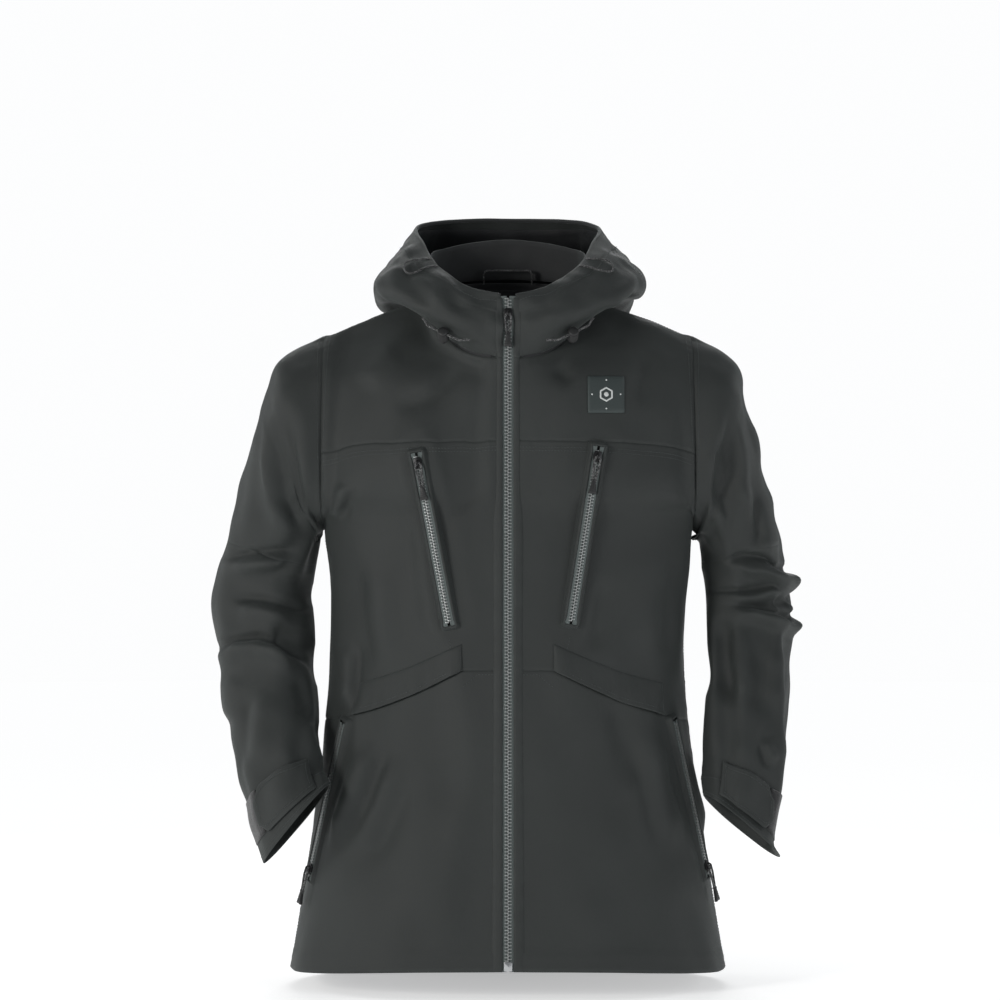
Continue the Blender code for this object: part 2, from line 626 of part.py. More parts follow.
def pocket_flaps(fronts, finishes):
    """Storm flaps over the lower seam. Each turns up about a line through its sewn top edge."""
    lift, thick = 0.0034, 0.0018
    for side, net in fronts.items():
        u = np.linspace(*FLAP_COLUMNS, 9)
        low, high = flap_line(u), flap_line(u) + FLAP_HEIGHT
        v = between(low, high, 3)
        flap = patch(f"{side}_pocket_flap", net, SIDES[side], u, v, finishes["shell"], lift, thick)
        edge = evaluate(net, u, high) + normals(net, u, high, SIDES[side]) * (lift - thick / 2)
        direction = edge[-1] - edge[0]
        direction /= np.linalg.norm(direction)
        outward = np.cross(direction, [0, 0, 1])
        outward *= np.sign(-outward[1]) / np.linalg.norm(outward)
        reach = ((edge - edge[0]) @ outward).max() + 0.0015
        start = edge[0] + outward * reach
        axis = opening_axis(start, direction, evaluate(net, u[4], low[4]), outward)
        hang_on(flap, pivot(f"{side}_flap_pivot", start, axis))


# ---------------------------------------------------------------- zips
def slot_strip(name, length, height, finish):
    """Both rows of teeth, joined by a stop at each end, with the slot that the slider's post runs in."""
    bm = bmesh.new()
    add_box(bm, (-TEETH_OUT, TEETH_OUT), height, (0, length))
    strip = finish_mesh(name, bm, finish, smooth=False)
    stop = 0.002
    slot = box("slot", (-TEETH_IN, TEETH_IN), (height[0] - 0.01, height[1] + 0.01),
               (stop, length - stop), finish)
    return combine(strip, slot, "DIFFERENCE")


def slider_body(name, base, top, finish):
    """Two plates joined by a post between the rows of teeth, with an arch for the pull."""
    half, wide = SLIDER_LENGTH / 2, (-SLIDER_HALF_WIDTH, SLIDER_HALF_WIDTH)
    body = box(name, wide, (base - PLATE, base), (-half, half), finish)
    plate = box("top_plate", wide, (top, top + PLATE), (-half, half), finish)
    post = box("post", (-WEB, WEB), (base - PLATE / 2, top + PLATE / 2), (-half * 0.8, half * 0.8), finish)
    for piece in (plate, post):
        combine(body, piece)
    bar = top + PLATE + BAR_LIFT
    reach, wall = 0.0030, 0.0008
    span = reach - wall
    arch = box("arch", (-0.0008, 0.0008), (top + PLATE / 2, bar + 0.0020), (-reach, reach), finish)
    opening = box("opening", (-0.01, 0.01), (top + PLATE, bar + 0.0012), (-span, span), finish)
    combine(arch, opening, "DIFFERENCE")
    combine(body, arch)
    return body


def pull_body(name, length, finish):
    """A link, a cord and a moulded grip. Its origin is the axis of the link's bar; it hangs down."""
    half, side, end = 0.0024, 0.0009, -0.0085
    bar = 0.0007
    link = box(name, (-half, half), (-bar, bar), (end, bar), finish)
    eye = box("eye", (-half + side, half - side), (-0.01, 0.01), (-0.0056, -bar), finish)
    combine(link, eye, "DIFFERENCE")
    cord = box("cord", (-0.0012, 0.0012), (-0.0010, 0.0010), (-length + 0.010, -0.0062), finish)
    combine(link, cord)
    grip = turned("grip", ((0, -length), (0.0028, -length), (0.0032, -length + 0.0012),
                           (0.0024, -length + 0.011), (0.0012, -length + 0.0135), (0, -length + 0.0135)),
                  finish, 8)
    return combine(link, grip)


def zip_frame(net, outward, ends):
    """A straight zip on a surface, from its (u, v) ends: the frame at its bottom, and its length."""
    (top_u, top_v), (low_u, low_v) = ends
    top, low = evaluate(net, top_u, top_v), evaluate(net, low_u, low_v)
    share = np.linspace(-0.04, 1.04, 30)
    u, v = low_u + (top_u - low_u) * share, low_v + (top_v - low_v) * share
    out = normals(net, u, v, outward).mean(axis=0)
    along = (top - low) / np.linalg.norm(top - low)
    u = u + np.array([[-0.16], [0.0], [0.16]])  # the zip's middle and its tape's two edges
    out -= out.dot(along) * along
    out /= np.linalg.norm(out)
    rise = ((evaluate(net, u, v) - low) @ out).max()  # the surface bulges past the straight line
    return frame_matrix(low + out * rise, along, out), float(np.linalg.norm(top - low))


def pocket_zip(name, net, outward, ends, at_top, finishes):
    """Tape, teeth, slider and pull of a pocket zip that lies on the fabric."""
    frame, length = zip_frame(net, outward, ends)
    tape_y, teeth_y = (0.0019, 0.0019 + TAPE_THICK), (0.0015, 0.0035)
    base, top = 0.0011, 0.0039
    half_tape = 0.0078
    tape = box(f"{name}_tape", (-half_tape, half_tape), tape_y, (-0.004, length + 0.004), finishes["tape"])
    slit = box("slit", (-TEETH_OUT - 0.0003, TEETH_OUT + 0.0003), (0, 0.01), (-0.0004, length + 0.0004),
               finishes["tape"])
    combine(tape, slit, "DIFFERENCE")
    teeth = slot_strip(f"{name}_teeth", length, teeth_y, finishes["teeth"])
    for piece in (tape, teeth):
        piece.matrix_world = frame
    end = 0.003 + SLIDER_LENGTH / 2
    place = length - end if at_top else end
    slider = slider_body(f"{name}_slider", base, top, finishes["metal"])
    slider.matrix_world = frame @ Matrix.Translation((0, 0, place))
    bar_y = top + PLATE + BAR_LIFT
    pull = pull_body(f"{name}_pull", 0.040, finishes["cord"])
    pull.matrix_world = slider.matrix_world @ Matrix.Translation((0, bar_y, 0))
    hang_on(pull, slider)


def main_zip(finishes):
    """The front zip. Its tape stops at the panels' edges, and its slider runs from collar to hem."""
    low = (0, front_line_y(HEM_FRONT), HEM_FRONT)
    top = (0, front_line_y(COLLAR_TOP), COLLAR_TOP)
    along = Vector(top) - Vector(low)
    frame = frame_matrix(low, along, (0, -1, 0))
    length = along.length
    teeth_y, tape_y = (-0.0017, 0.0007), (-0.0010, -0.0004)
    base, top_plate = -0.0021, 0.0011
    box_height = 0.010
    for side, sign in SIDES.items():
        # The zip's own X runs towards the wearer's right.
        teeth_x = sorted((-sign * TEETH_IN, -sign * TEETH_OUT))
        tape_x = sorted((-sign * (TEETH_OUT + 0.0003), -sign * (ZIP_EDGE - 0.0009)))
        rise = (box_height + 0.0005, length)
        teeth = box(f"main_zip_teeth_{side}", teeth_x, teeth_y, rise, finishes["teeth"])
        tape = box(f"main_zip_tape_{side}", tape_x, tape_y, (0.0, length), finishes["tape"])
        for piece in (teeth, tape):
            piece.matrix_world = frame
    box_x, box_y, box_z = (-0.0031, 0.0031), (-0.0022, 0.0014), (0.0005, box_height)
    retainer = box("main_zip_bottom_box", box_x, box_y, box_z, finishes["metal"])
    retainer.matrix_world = frame
    place = length - 0.020
    slider = slider_body("main_zip_slider", base, top_plate, finishes["metal"])
    slider.matrix_world = frame @ Matrix.Translation((0, 0, place))
    bar_y = top_plate + PLATE + BAR_LIFT
    pull = pull_body("main_zip_pull", 0.036, finishes["rubber"])
    pull.matrix_world = slider.matrix_world @ Matrix.Translation((0, bar_y, 0))
    hang_on(pull, slider)


# ---------------------------------------------------------------- sleeves
def tucked(net, outward, u, v, tuck):
    """Points of a sleeve surface, drawn in by tuck (one number per row)."""
    u, v = np.broadcast_arrays(u, v)
    return evaluate(net, u, v) - normals(net, u, v, outward) * tuck[:, None, None]


def ring_centre(side, ring):
    x, depth, z = SLEEVE_RINGS[side][ring - 1][0]
    return np.array([SIDES[side] * x, TORSO_Y + depth, z])


def sleeve(side, finishes):
    """The sleeve in two parts: it turns at the shoulder, and its lower part turns at the elbow."""
    net, outward, sign = sleeve_net(side), -SIDES[side], SIDES[side]
    columns = net.shape[1] - 3
    u = np.arange(2 * columns) / 2
    centre = (sign * SHOULDER[0], TORSO_Y + SHOULDER[1], SHOULDER[2])
    shoulder = pivot(f"{side}_shoulder_pivot", centre, (0, -sign, 0))
    elbow_centre = ring_centre(side, ELBOW_RING)
    upper_arm = elbow_centre - ring_centre(side, ELBOW_RING - 2)
    lower_arm = ring_centre(side, CUFF_RING) - elbow_centre
    elbow = pivot(f"{side}_elbow_pivot", elbow_centre, np.cross(upper_arm, lower_arm), shoulder)

    v = np.array([0.05, 0.5, 1.0, 1.6, 2.2, 2.8, 3.4, 4.0, 4.5, ELBOW_RING - 0.06])[:, None]
    upper = patch(f"{side}_upper_sleeve", net, outward, u, v, finishes["shell"], closed_u=True)
    hang_on(upper, shoulder)

    v = np.array([ELBOW_RING + 0.02, 5.35, 5.7, 6.1, 6.7, 7.3, 7.9, 8.5, CUFF_RING])
    tuck = ELBOW_TUCK * np.clip(1 - (v - ELBOW_RING) / 1.7, 0, 1)
    outer = tucked(net, outward, u, v[:, None], tuck)
    inner = tucked(net, outward, u, v[:, None], tuck + SHELL)
    forearm = thick_sheet(f"{side}_forearm_sleeve", outer, inner, finishes["shell"], closed_u=True)
    hang_on(forearm, elbow)
    cuff_tab(side, net, outward, columns, elbow, finishes)


def cuff_tab(side, net, outward, columns, elbow, finishes):
    """The closing tab at the cuff, sewn at its front end, and the patch of loops it grips."""
    turn = columns / 360  # columns per degree round the sleeve
    rows = np.linspace(CUFF_RING - 0.72, CUFF_RING - 0.22, 4)[:, None]
    loops = patch(f"{side}_cuff_loop_patch", net, outward, np.linspace(112, 165, 5) * turn, rows,
                  finishes["hook_loop"], lift=0.0018, thick=0.0014)
    hang_on(loops, elbow)
    rows = np.linspace(CUFF_RING - 0.78, CUFF_RING - 0.14, 4)[:, None]
    u = np.linspace(42, 118, 7) * turn
    tab = patch(f"{side}_cuff_tab", net, outward, u, rows, finishes["shell"], lift=0.0042, thick=0.0018)
    low, high = evaluate(net, u[0], rows[0, 0]), evaluate(net, u[0], rows[-1, 0])
    out = normals(net, u[0], rows.mean(), outward)
    hinge = low + out * 0.0040
    axis = opening_axis(hinge, high - low, evaluate(net, u[-1], rows[0, 0]), out)
    hang_on(tab, pivot(f"{side}_tab_pivot", hinge, axis, elbow))


# ---------------------------------------------------------------- collar, hood and trims
def collar(finishes):
    """The standing inner collar: it rises inside the hood's neck seam."""
    seam = np.array([(x, TORSO_Y + depth, z) for (x, depth, z), *_ in HOOD_COLUMNS])
    height = np.array([0.058, 0.052, 0.046, 0.040, 0.040, 0.042, 0.044])
    middle = np.array([0.0, TORSO_Y - 0.01, 0.0])
    inward = middle - seam
    inward[:, 2] = 0
    inward /= np.linalg.norm(inward, axis=1, keepdims=True)
    foot = seam + inward * 0.0075 + np.array([0, 0, 0.002])
    foot[0, 0] = 0.012
    low, high = foot, foot + inward * 0.004
    high[:, 2] += height
    high[0, 0] = 0.012
    half = np.stack([low, (low + high) / 2 - inward * 0.001, high])
    whole = np.concatenate([half, mirrored(half)[:, -2::-1]], axis=1)
    net = padded(whole)
    u, v = np.linspace(0, 12, 25), np.linspace(0, 2, 3)[:, None]
    patch("collar", net, 1, u, v, finishes["shell"], thick=0.0020)


def hood(finishes):
    """Two side parts sewn to the neck, which stay, and the hood, which lifts about the neck's sides."""
    net = hood_net()
    last, middle = 12.0, 6.0
    v = np.linspace(0.03, 5, 11)[:, None]
    end = HOOD_SPLIT - 0.06 - HOOD_NOTCH * np.clip((v - 2.5) / 2.5, 0, 1)
    u = np.linspace(0, 1, 9) * end
    patch("left_hood_side", net, 1, u, v, finishes["shell"])
    patch("right_hood_side", net, 1, last - u[:, ::-1], v, finishes["shell"])
    reach = middle - HOOD_SPLIT
    u = np.linspace(middle - reach, middle + reach, 13)
    shell = patch("hood_shell", net, 1, u, v, finishes["shell"])
    depth, height = HOOD_PIVOT
    hang_on(shell, pivot("hood_pivot", (0, TORSO_Y + depth, height), (1, 0, 0)))


def cord_lock(name, frame, out, finishes):
    """A barrel with a sprung button, on a run of drawcord. Local Z is the button's way out, local X the cord.

    The cord's ends bend back against out, down to the hood."""
    outline = ((0, -0.008), (0.0052, -0.008), (0.0060, -0.006), (0.0060, 0.006),
               (0.0052, 0.007), (0.0042, 0.007), (0.0042, 0.0), (0, 0.0))
    barrel = turned(f"{name}_barrel", outline, finishes["rubber"], 12)
    bore = ((0, -0.02), (0.0018, -0.02), (0.0018, 0.02), (0, 0.02))
    hole = turned("cord_hole", bore, finishes["rubber"], 8)
    hole.matrix_world = Matrix.Translation((0, 0, -0.004)) @ Matrix.Rotation(math.pi / 2, 4, "Y")
    bpy.context.view_layer.update()
    combine(barrel, hole, "DIFFERENCE")
    outline = ((0, 0.0036), (0.0036, 0.0036), (0.0036, 0.0100), (0.0028, 0.0108), (0, 0.0108))
    button = turned(f"{name}_button", outline, finishes["rubber"], 12)
    barrel.matrix_world = frame
    button.matrix_world = frame
    hang_on(button, barrel)
    run = []
    for x in np.linspace(-CORD_REACH, CORD_REACH, 17):
        bend = np.clip((abs(x) - CORD_STRAIGHT) / (CORD_REACH - CORD_STRAIGHT), 0, 1)
        dip = CORD_DIP * bend * bend * (3 - 2 * bend)
        run.append(frame @ Vector((x, 0, -0.004)) - Vector(out) * dip)
    tube(f"{name}_drawcord", run, 0.0012, finishes["cord"], 8)
    return barrel


def hood_adjusters(finishes):
    """Cord locks under the hood's folds, one each side of the chin."""
    net = hood_net()
    for side, u in (("left", 1.30), ("right", 12 - 1.30)):
        point = evaluate(net, u, 1.0)
        out = normals(net, u, 1.0, 1)
        across = evaluate(net, u + 0.05, 1.0) - evaluate(net, u - 0.05, 1.0)
        across /= np.linalg.norm(across)
        up = Vector(np.cross(out, across)) * (-1 if np.cross(out, across)[2] > 0 else 1)
        x = Vector(across)
        z = up.normalized()
        y = z.cross(x).normalized()
        turn = Matrix((x, y, z)).transposed().to_4x4()
        frame = Matrix.Translation(Vector(point + out * LOCK_LIFT)) @ turn
        cord_lock(f"{side}_hood", frame, out, finishes)


def badge(fronts, finishes):
    """A square moulded badge on the wearer's left chest, with four studs."""
    net, half, studs = fronts["left"], 0.0195, 0.0155
    reach = np.linspace(-half, half, 5)
    u, v = locate(net, BADGE[0] + reach, BADGE[1] + reach[:, None])
    plate = patch("chest_badge", net, 1, u, v, finishes["badge"], lift=0.0020, thick=0.0014)
    for x, z in ((0, studs), (0, -studs), (studs, 0), (-studs, 0)):
        u, v = locate(net, BADGE[0] + x, BADGE[1] + z)
        out = normals(net, u, v, 1)
        stud = turned("stud", ((0, 0), (0.0009, 0), (0.0009, 0.0016), (0, 0.0016)), finishes["badge"], 8)
        turn = Vector(out).to_track_quat("Z", "Y").to_matrix().to_4x4()
        stud.matrix_world = Matrix.Translation(Vector(evaluate(net, u, v) + out * 0.0012)) @ turn
        bpy.context.view_layer.update()
        combine(plate, stud)


def hanger_loop(finishes):
    """A webbing loop inside the back of the neck: an arch whose flat underside hangs on a hook."""
    y, half, rise, thick = TORSO_Y + 0.049, 0.028, 0.016, 0.0016
    top = 0.800
    span, foot = half - thick, top - rise
    loop = box("hanger_loop", (-half, half), (y - 0.004, y + 0.004), (foot, top), finishes["cord"])
    under = box("under", (-span, span), (y - 0.01, y + 0.01), (foot - 0.01, top - thick), finishes["cord"])
    combine(loop, under, "DIFFERENCE")


def hem_drawcord(fronts, back, finishes):
    """The shock cord that runs in the hem, from one side of the zip round the back to the other."""
    inset, row = 0.0042, 0.12
    runs = []
    for net, outward, u in (
        (fronts["right"], -1, np.linspace(0.35, LAST_COLUMN - 0.3, 9)),
        (back, -1, np.linspace(0.3, 2 * LAST_COLUMN - 0.3, 17)),
        (fronts["left"], 1, np.linspace(0.35, LAST_COLUMN - 0.3, 9)[::-1]),
    ):
        runs.append(evaluate(net, u, row) - normals(net, u, row, outward) * inset)
    tube("hem_drawcord", np.concatenate(runs), 0.0013, finishes["cord"], 6)


def clear_scene():
    for obj in list(bpy.data.objects):
        bpy.data.objects.remove(obj, do_unlink=True)


def main():
    clear_scene()
    finishes = make_materials()
    fronts, back = make_front_surfaces(), make_back_surface()
    front_panels(fronts, finishes)
    back_panels(back, finishes)
    pocket_bags(fronts, finishes)
    body_lining(fronts, back, finishes)
    powder_skirt(fronts, back, finishes)
    hem_drawcord(fronts, back, finishes)
    pocket_flaps(fronts, finishes)
    main_zip(finishes)
    for side, net in fronts.items():
        pocket_zip(f"{side}_chest_zip", net, SIDES[side], CHEST_ZIP[side], True, finishes)
        pocket_zip(f"{side}_hand_zip", net, SIDES[side], HAND_ZIP[side], False, finishes)
        sleeve(side, finishes)
    collar(finishes)
    hood(finishes)
    hood_adjusters(finishes)
    badge(fronts, finishes)
    hanger_loop(finishes)


main()
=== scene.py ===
"""Looks of the ski jacket: draped cloth, real zips, cords, tabs and stitching round the CAD frame.

The jacket's shell is one welded net of cloth that is draped over a simple body form by Blender's
Cloth. The draped net then works as a set of smooth sheets: every panel, seam, stitch, zip and patch
is placed on a sheet by its column u and row v, the same columns and rows as in the CAD part.
"""

import json
import math

import bmesh
import bpy
import numpy as np
from mathutils import Matrix, Vector
from mathutils.bvhtree import BVHTree


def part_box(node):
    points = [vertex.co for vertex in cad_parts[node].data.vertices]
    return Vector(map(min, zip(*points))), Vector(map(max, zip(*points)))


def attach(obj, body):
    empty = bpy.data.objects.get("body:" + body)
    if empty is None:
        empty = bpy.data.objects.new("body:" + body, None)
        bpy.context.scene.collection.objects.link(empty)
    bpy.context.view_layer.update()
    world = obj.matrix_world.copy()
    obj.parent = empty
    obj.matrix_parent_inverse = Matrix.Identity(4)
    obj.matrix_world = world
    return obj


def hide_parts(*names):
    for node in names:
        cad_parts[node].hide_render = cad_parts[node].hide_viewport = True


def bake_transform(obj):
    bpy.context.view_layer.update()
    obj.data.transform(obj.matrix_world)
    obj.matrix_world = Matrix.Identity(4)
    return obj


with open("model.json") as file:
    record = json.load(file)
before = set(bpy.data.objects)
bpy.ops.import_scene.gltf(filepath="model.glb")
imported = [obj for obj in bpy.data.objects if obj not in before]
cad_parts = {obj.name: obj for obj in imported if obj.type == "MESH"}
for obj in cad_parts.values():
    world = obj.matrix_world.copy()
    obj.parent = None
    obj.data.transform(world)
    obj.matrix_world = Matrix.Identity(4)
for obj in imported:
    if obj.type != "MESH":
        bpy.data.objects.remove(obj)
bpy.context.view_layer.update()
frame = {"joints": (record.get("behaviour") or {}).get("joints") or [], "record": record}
JOINTS = {joint["name"]: joint for joint in frame["joints"]}
SIDES = {"right": -1, "left": 1}

# ---------------------------------------------------------------- the pattern, in metres
TORSO_Y = -0.150
ZIP_EDGE = 0.0085
HEM_FRONT = 0.030
COLLAR_TOP = 0.765
FRONT_DEPTH_HEM = 0.146
FRONT_DEPTH_TOP = 0.104
SQUARENESS = 2.4

# Body sections below the armpit: height at front, side and back, half width, depth behind the
# middle.
SECTIONS = (
    (HEM_FRONT, 0.018, 0.000, 0.243, 0.150),
    (0.150, 0.145, 0.140, 0.222, 0.136),
    (0.310, 0.308, 0.305, 0.199, 0.116),
    (0.420, 0.418, 0.415, 0.197, 0.117),
    (0.512, 0.507, 0.512, 0.205, 0.127),
)
COLUMN_ANGLES = (0, 20, 38, 56, 73, 90)

# Rows above the armpit, from the centre to the armhole's edge: x, depth and height of each column.
FRONT_TOP = (
    ((ZIP_EDGE, 0.053, 0.105, 0.150, 0.186, 0.207), (0, 0.1200, 0.1165, 0.1050, 0.087, 0.053),
     (0.553, 0.553, 0.552, 0.550, 0.545, 0.532)),
    ((ZIP_EDGE, 0.051, 0.100, 0.145, 0.182, 0.207), (0, 0.1175, 0.1135, 0.1020, 0.087, 0.070),
     (0.607, 0.607, 0.606, 0.604, 0.600, 0.592)),
    ((ZIP_EDGE, 0.048, 0.091, 0.131, 0.170, 0.206), (0, 0.111, 0.103, 0.089, 0.073, 0.059),
     (0.655, 0.661, 0.671, 0.679, 0.681, 0.670)),
    ((ZIP_EDGE, 0.047, 0.085, 0.114, 0.161, 0.206), (0, 0.101, 0.082, 0.052, 0.037, 0.029),
     (0.680, 0.687, 0.705, 0.728, 0.722, 0.706)),
    ((ZIP_EDGE, 0.045, 0.078, 0.092, 0.150, 0.205), (0, 0.092, 0.058, 0.006, -0.002, -0.004),
     (0.697, 0.705, 0.732, 0.765, 0.749, 0.725)),
)
BACK_TOP = (
    ((0, 0.055, 0.105, 0.150, 0.186, 0.207), (0.131, 0.130, 0.124, 0.111, 0.090, 0.053),
     (0.560, 0.560, 0.558, 0.555, 0.546, 0.532)),
    ((0, 0.053, 0.104, 0.148, 0.182, 0.207), (0.129, 0.128, 0.121, 0.107, 0.091, 0.076),
     (0.620, 0.620, 0.618, 0.612, 0.604, 0.595)),
    ((0, 0.050, 0.098, 0.138, 0.172, 0.206), (0.117, 0.115, 0.106, 0.091, 0.077, 0.065),
     (0.680, 0.680, 0.678, 0.676, 0.672, 0.666)),
    ((0, 0.046, 0.088, 0.121, 0.165, 0.206), (0.097, 0.093, 0.079, 0.059, 0.047, 0.038),
     (0.731, 0.731, 0.730, 0.729, 0.719, 0.703)),
    ((0, 0.040, 0.075, 0.092, 0.150, 0.205), (0.067, 0.059, 0.033, -0.006, 0.002, 0.004),
     (0.777, 0.776, 0.772, 0.765, 0.749, 0.725)),
)
ARMPIT, YOKE, TOP, SIDE = 4, 6, 9, 5  # three of the rows, and the column of the side seam
NECK = 3  # the front's column where the neck edge ends and the shoulder seam starts
ARMPIT_PLACE = np.array([0.205, 0.150, 0.507])  # the wearer's left armpit, without signs

# Sleeve rings from the shoulder to the cuff, written for the wearer's left: centre (x, depth, z),
# the way the arm points there, radius outwards and radius to the front.
SLEEVE_RINGS = {
    "right": (
        ((0.2365, 0.005, 0.6010), (0.97, 0.02, -0.24), 0.0955, 0.083),
        ((0.2435, 0.009, 0.5753), (0.92, 0.05, -0.39), 0.0835, 0.079),
        ((0.2505, 0.013, 0.5470), (0.80, 0.08, -0.60), 0.0660, 0.074),
        ((0.2695, 0.022, 0.4805), (0.29, 0.03, -0.96), 0.0510, 0.068),
        ((0.2795, 0.024, 0.4300), (-0.05, -0.25, -0.97), 0.055, 0.064),
        ((0.2740, 0.004, 0.3780), (-0.16, -0.42, -0.88), 0.053, 0.060),
        ((0.2650, -0.030, 0.3100), (-0.18, -0.45, -0.87), 0.050, 0.055),
        ((0.2500, -0.072, 0.2450), (-0.35, -0.42, -0.84), 0.049, 0.050),
        ((0.2310, -0.110, 0.1880), (-0.75, -0.12, -0.62), 0.056, 0.039),
    ),
    "left": (
        ((0.2365, 0.005, 0.6010), (0.97, 0.02, -0.24), 0.0955, 0.083),
        ((0.2432, 0.009, 0.5753), (0.92, 0.05, -0.39), 0.0832, 0.079),
        ((0.2500, 0.013, 0.5480), (0.80, 0.08, -0.60), 0.0655, 0.074),
        ((0.2690, 0.022, 0.4835), (0.27, 0.03, -0.96), 0.0505, 0.068),
        ((0.2785, 0.026, 0.4350), (-0.03, -0.22, -0.97), 0.054, 0.064),
        ((0.2760, 0.010, 0.3820), (-0.10, -0.36, -0.91), 0.053, 0.060),
        ((0.2710, -0.017, 0.3120), (-0.12, -0.38, -0.90), 0.051, 0.055),
        ((0.2650, -0.046, 0.2460), (-0.25, -0.36, -0.88), 0.050, 0.050),
        ((0.2580, -0.068, 0.1820), (-0.62, -0.16, -0.74), 0.054, 0.041),
    ),
}
CUFF = 9  # the sleeve's last ring; ring 0 is the armhole
ROUND = 10  # columns round a sleeve

# Hood: one profile per column, from the neck seam, out round the fold and up to the face edge.
HOOD_COLUMNS = (
    ((0.009, -0.109, 0.700), (0.009, -0.1085, 0.714), (0.009, -0.1075, 0.728),
     (0.009, -0.1065, 0.742), (0.009, -0.1055, 0.754), (0.009, -0.104, 0.766)),
    ((0.046, -0.097, 0.709), (0.052, -0.107, 0.722), (0.058, -0.113, 0.738),
     (0.058, -0.112, 0.755), (0.052, -0.104, 0.768), (0.043, -0.090, 0.776)),
    ((0.081, -0.062, 0.736), (0.098, -0.078, 0.746), (0.117, -0.086, 0.758),
     (0.121, -0.083, 0.774), (0.105, -0.070, 0.792), (0.078, -0.052, 0.800)),
    ((0.098, -0.008, 0.771), (0.124, -0.016, 0.768), (0.146, -0.020, 0.772),
     (0.147, -0.016, 0.788), (0.124, -0.006, 0.812), (0.095, 0.004, 0.828)),
    ((0.084, 0.034, 0.780), (0.106, 0.062, 0.762), (0.132, 0.082, 0.748),
     (0.144, 0.088, 0.768), (0.130, 0.082, 0.812), (0.104, 0.070, 0.850)),
    ((0.048, 0.062, 0.786), (0.060, 0.112, 0.725), (0.074, 0.142, 0.664),
     (0.092, 0.172, 0.672), (0.092, 0.160, 0.770), (0.068, 0.118, 0.860)),
    ((0.000, 0.071, 0.788), (0.000, 0.128, 0.700), (0.000, 0.150, 0.632),
     (0.000, 0.192, 0.636), (0.000, 0.186, 0.755), (0.000, 0.134, 0.862)),
)

HOOD_LAST = 2 * len(HOOD_COLUMNS) - 2  # the hood's last column; its first is at the other side
HOOD_TOP = len(HOOD_COLUMNS[0]) - 1  # the hood's row at the face edge
HOOD_EDGE = HOOD_COLUMNS[0][0][0]
LOCK_COLUMN = 1.30  # where the hood's cord locks sit

FLAP_LEVEL, FLAP_DROP, FLAP_EASE, FLAP_HEIGHT = 2.38, 0.50, 1.5, 0.27
FLAP_COLUMNS = (0.56, 3.0)

# Pocket zips: their upper and lower ends as (column, row). The badge: its middle's (x, z).
CHEST_ZIP = {"right": ((1.96, 5.74), (0.75, 2.88)), "left": ((1.94, 5.86), (0.81, 2.90))}
HAND_ZIP = {"right": ((3.30, 1.90), (4.02, 0.84)), "left": ((3.38, 1.92), (4.12, 0.86))}
BADGE = (0.107, 0.657)
ZIP_REACH, BADGE_REACH = 0.016, 0.024  # cloth this near a zip or the badge is held still


# ---------------------------------------------------------------- smooth nets
def padded(net, wrap=False):
    """The net with one row and column more on each side, so that curves reach its edges."""
    if wrap:
        before, after = net[:, -1:], net[:, :2]
    else:
        before, after = 2 * net[:, :1] - net[:, 1:2], 2 * net[:, -1:] - net[:, -2:-1]
    net = np.concatenate([before, net, after], axis=1)
    return np.concatenate([2 * net[:1] - net[1:2], net, 2 * net[-1:] - net[-2:-1]])


def looped(grid):
    """The grid with its first column again after its last."""
    return np.concatenate([grid, grid[:, :1]], axis=1)


def widened(grid):
    """The grid of a closed ring with one column more on each side."""
    return np.concatenate([grid[:, -1:], grid, grid[:, :1]], axis=1)


def quads(grid):
    """The faces between neighbours in a grid of point numbers."""
    corners = (grid[..., :-1, :-1], grid[..., :-1, 1:], grid[..., 1:, 1:], grid[..., 1:, :-1])
    return np.stack(corners, axis=-1).reshape(-1, 4)


def curve_weights(t):
    """How much each of four neighbouring points counts, at the share t between the middle two."""
    return 0.5 * np.stack(
        [-t + 2 * t**2 - t**3, 2 - 5 * t**2 + 3 * t**3, t + 4 * t**2 - 3 * t**3, t**3 - t**2], axis=-1
    )


def evaluate(net, u, v):
    """Catmull-Rom points of a padded net at columns u and rows v."""
    u, v = np.broadcast_arrays(np.asarray(u, float), np.asarray(v, float))
    column = np.clip(np.floor(u).astype(int), 0, net.shape[1] - 4)
    row = np.clip(np.floor(v).astype(int), 0, net.shape[0] - 4)
    across, up = curve_weights(u - column), curve_weights(v - row)
    points = np.zeros(u.shape + (3,))
    for i in range(4):
        for j in range(4):
            points += (up[..., i] * across[..., j])[..., None] * net[row + i, column + j]
    return points


def unit(vectors):
    """The vectors at length 1."""
    return vectors / np.maximum(np.linalg.norm(vectors, axis=-1, keepdims=True), 1e-12)


def along_path(wanted, run, path):
    """Points of a path at the wanted values of run, which grows along it."""
    return np.stack([np.interp(wanted, run, path[:, k]) for k in range(path.shape[1])], axis=-1)


def smooth(low, high, x):
    """0 below low, 1 above high, and a smooth step between."""
    t = np.clip((np.asarray(x, float) - low) / (high - low), 0, 1)
    return t * t * (3 - 2 * t)


def surface_normals(net, u, v, step, outward):
    """Directions out of a padded net, at places given in its own columns and rows."""
    along_u = evaluate(net, u + step, v) - evaluate(net, u - step, v)
    along_v = evaluate(net, u, v + step) - evaluate(net, u, v - step)
    return unit(np.cross(along_u, along_v) * outward)


def grid_normals(points, closed=False):
    """Directions square to a grid of points; closed joins its last column to its first."""
    wide = widened(points) if closed else points
    normal = unit(np.cross(np.gradient(wide, axis=1), np.gradient(wide, axis=0)))
    return normal[:, 1:-1] if closed else normal


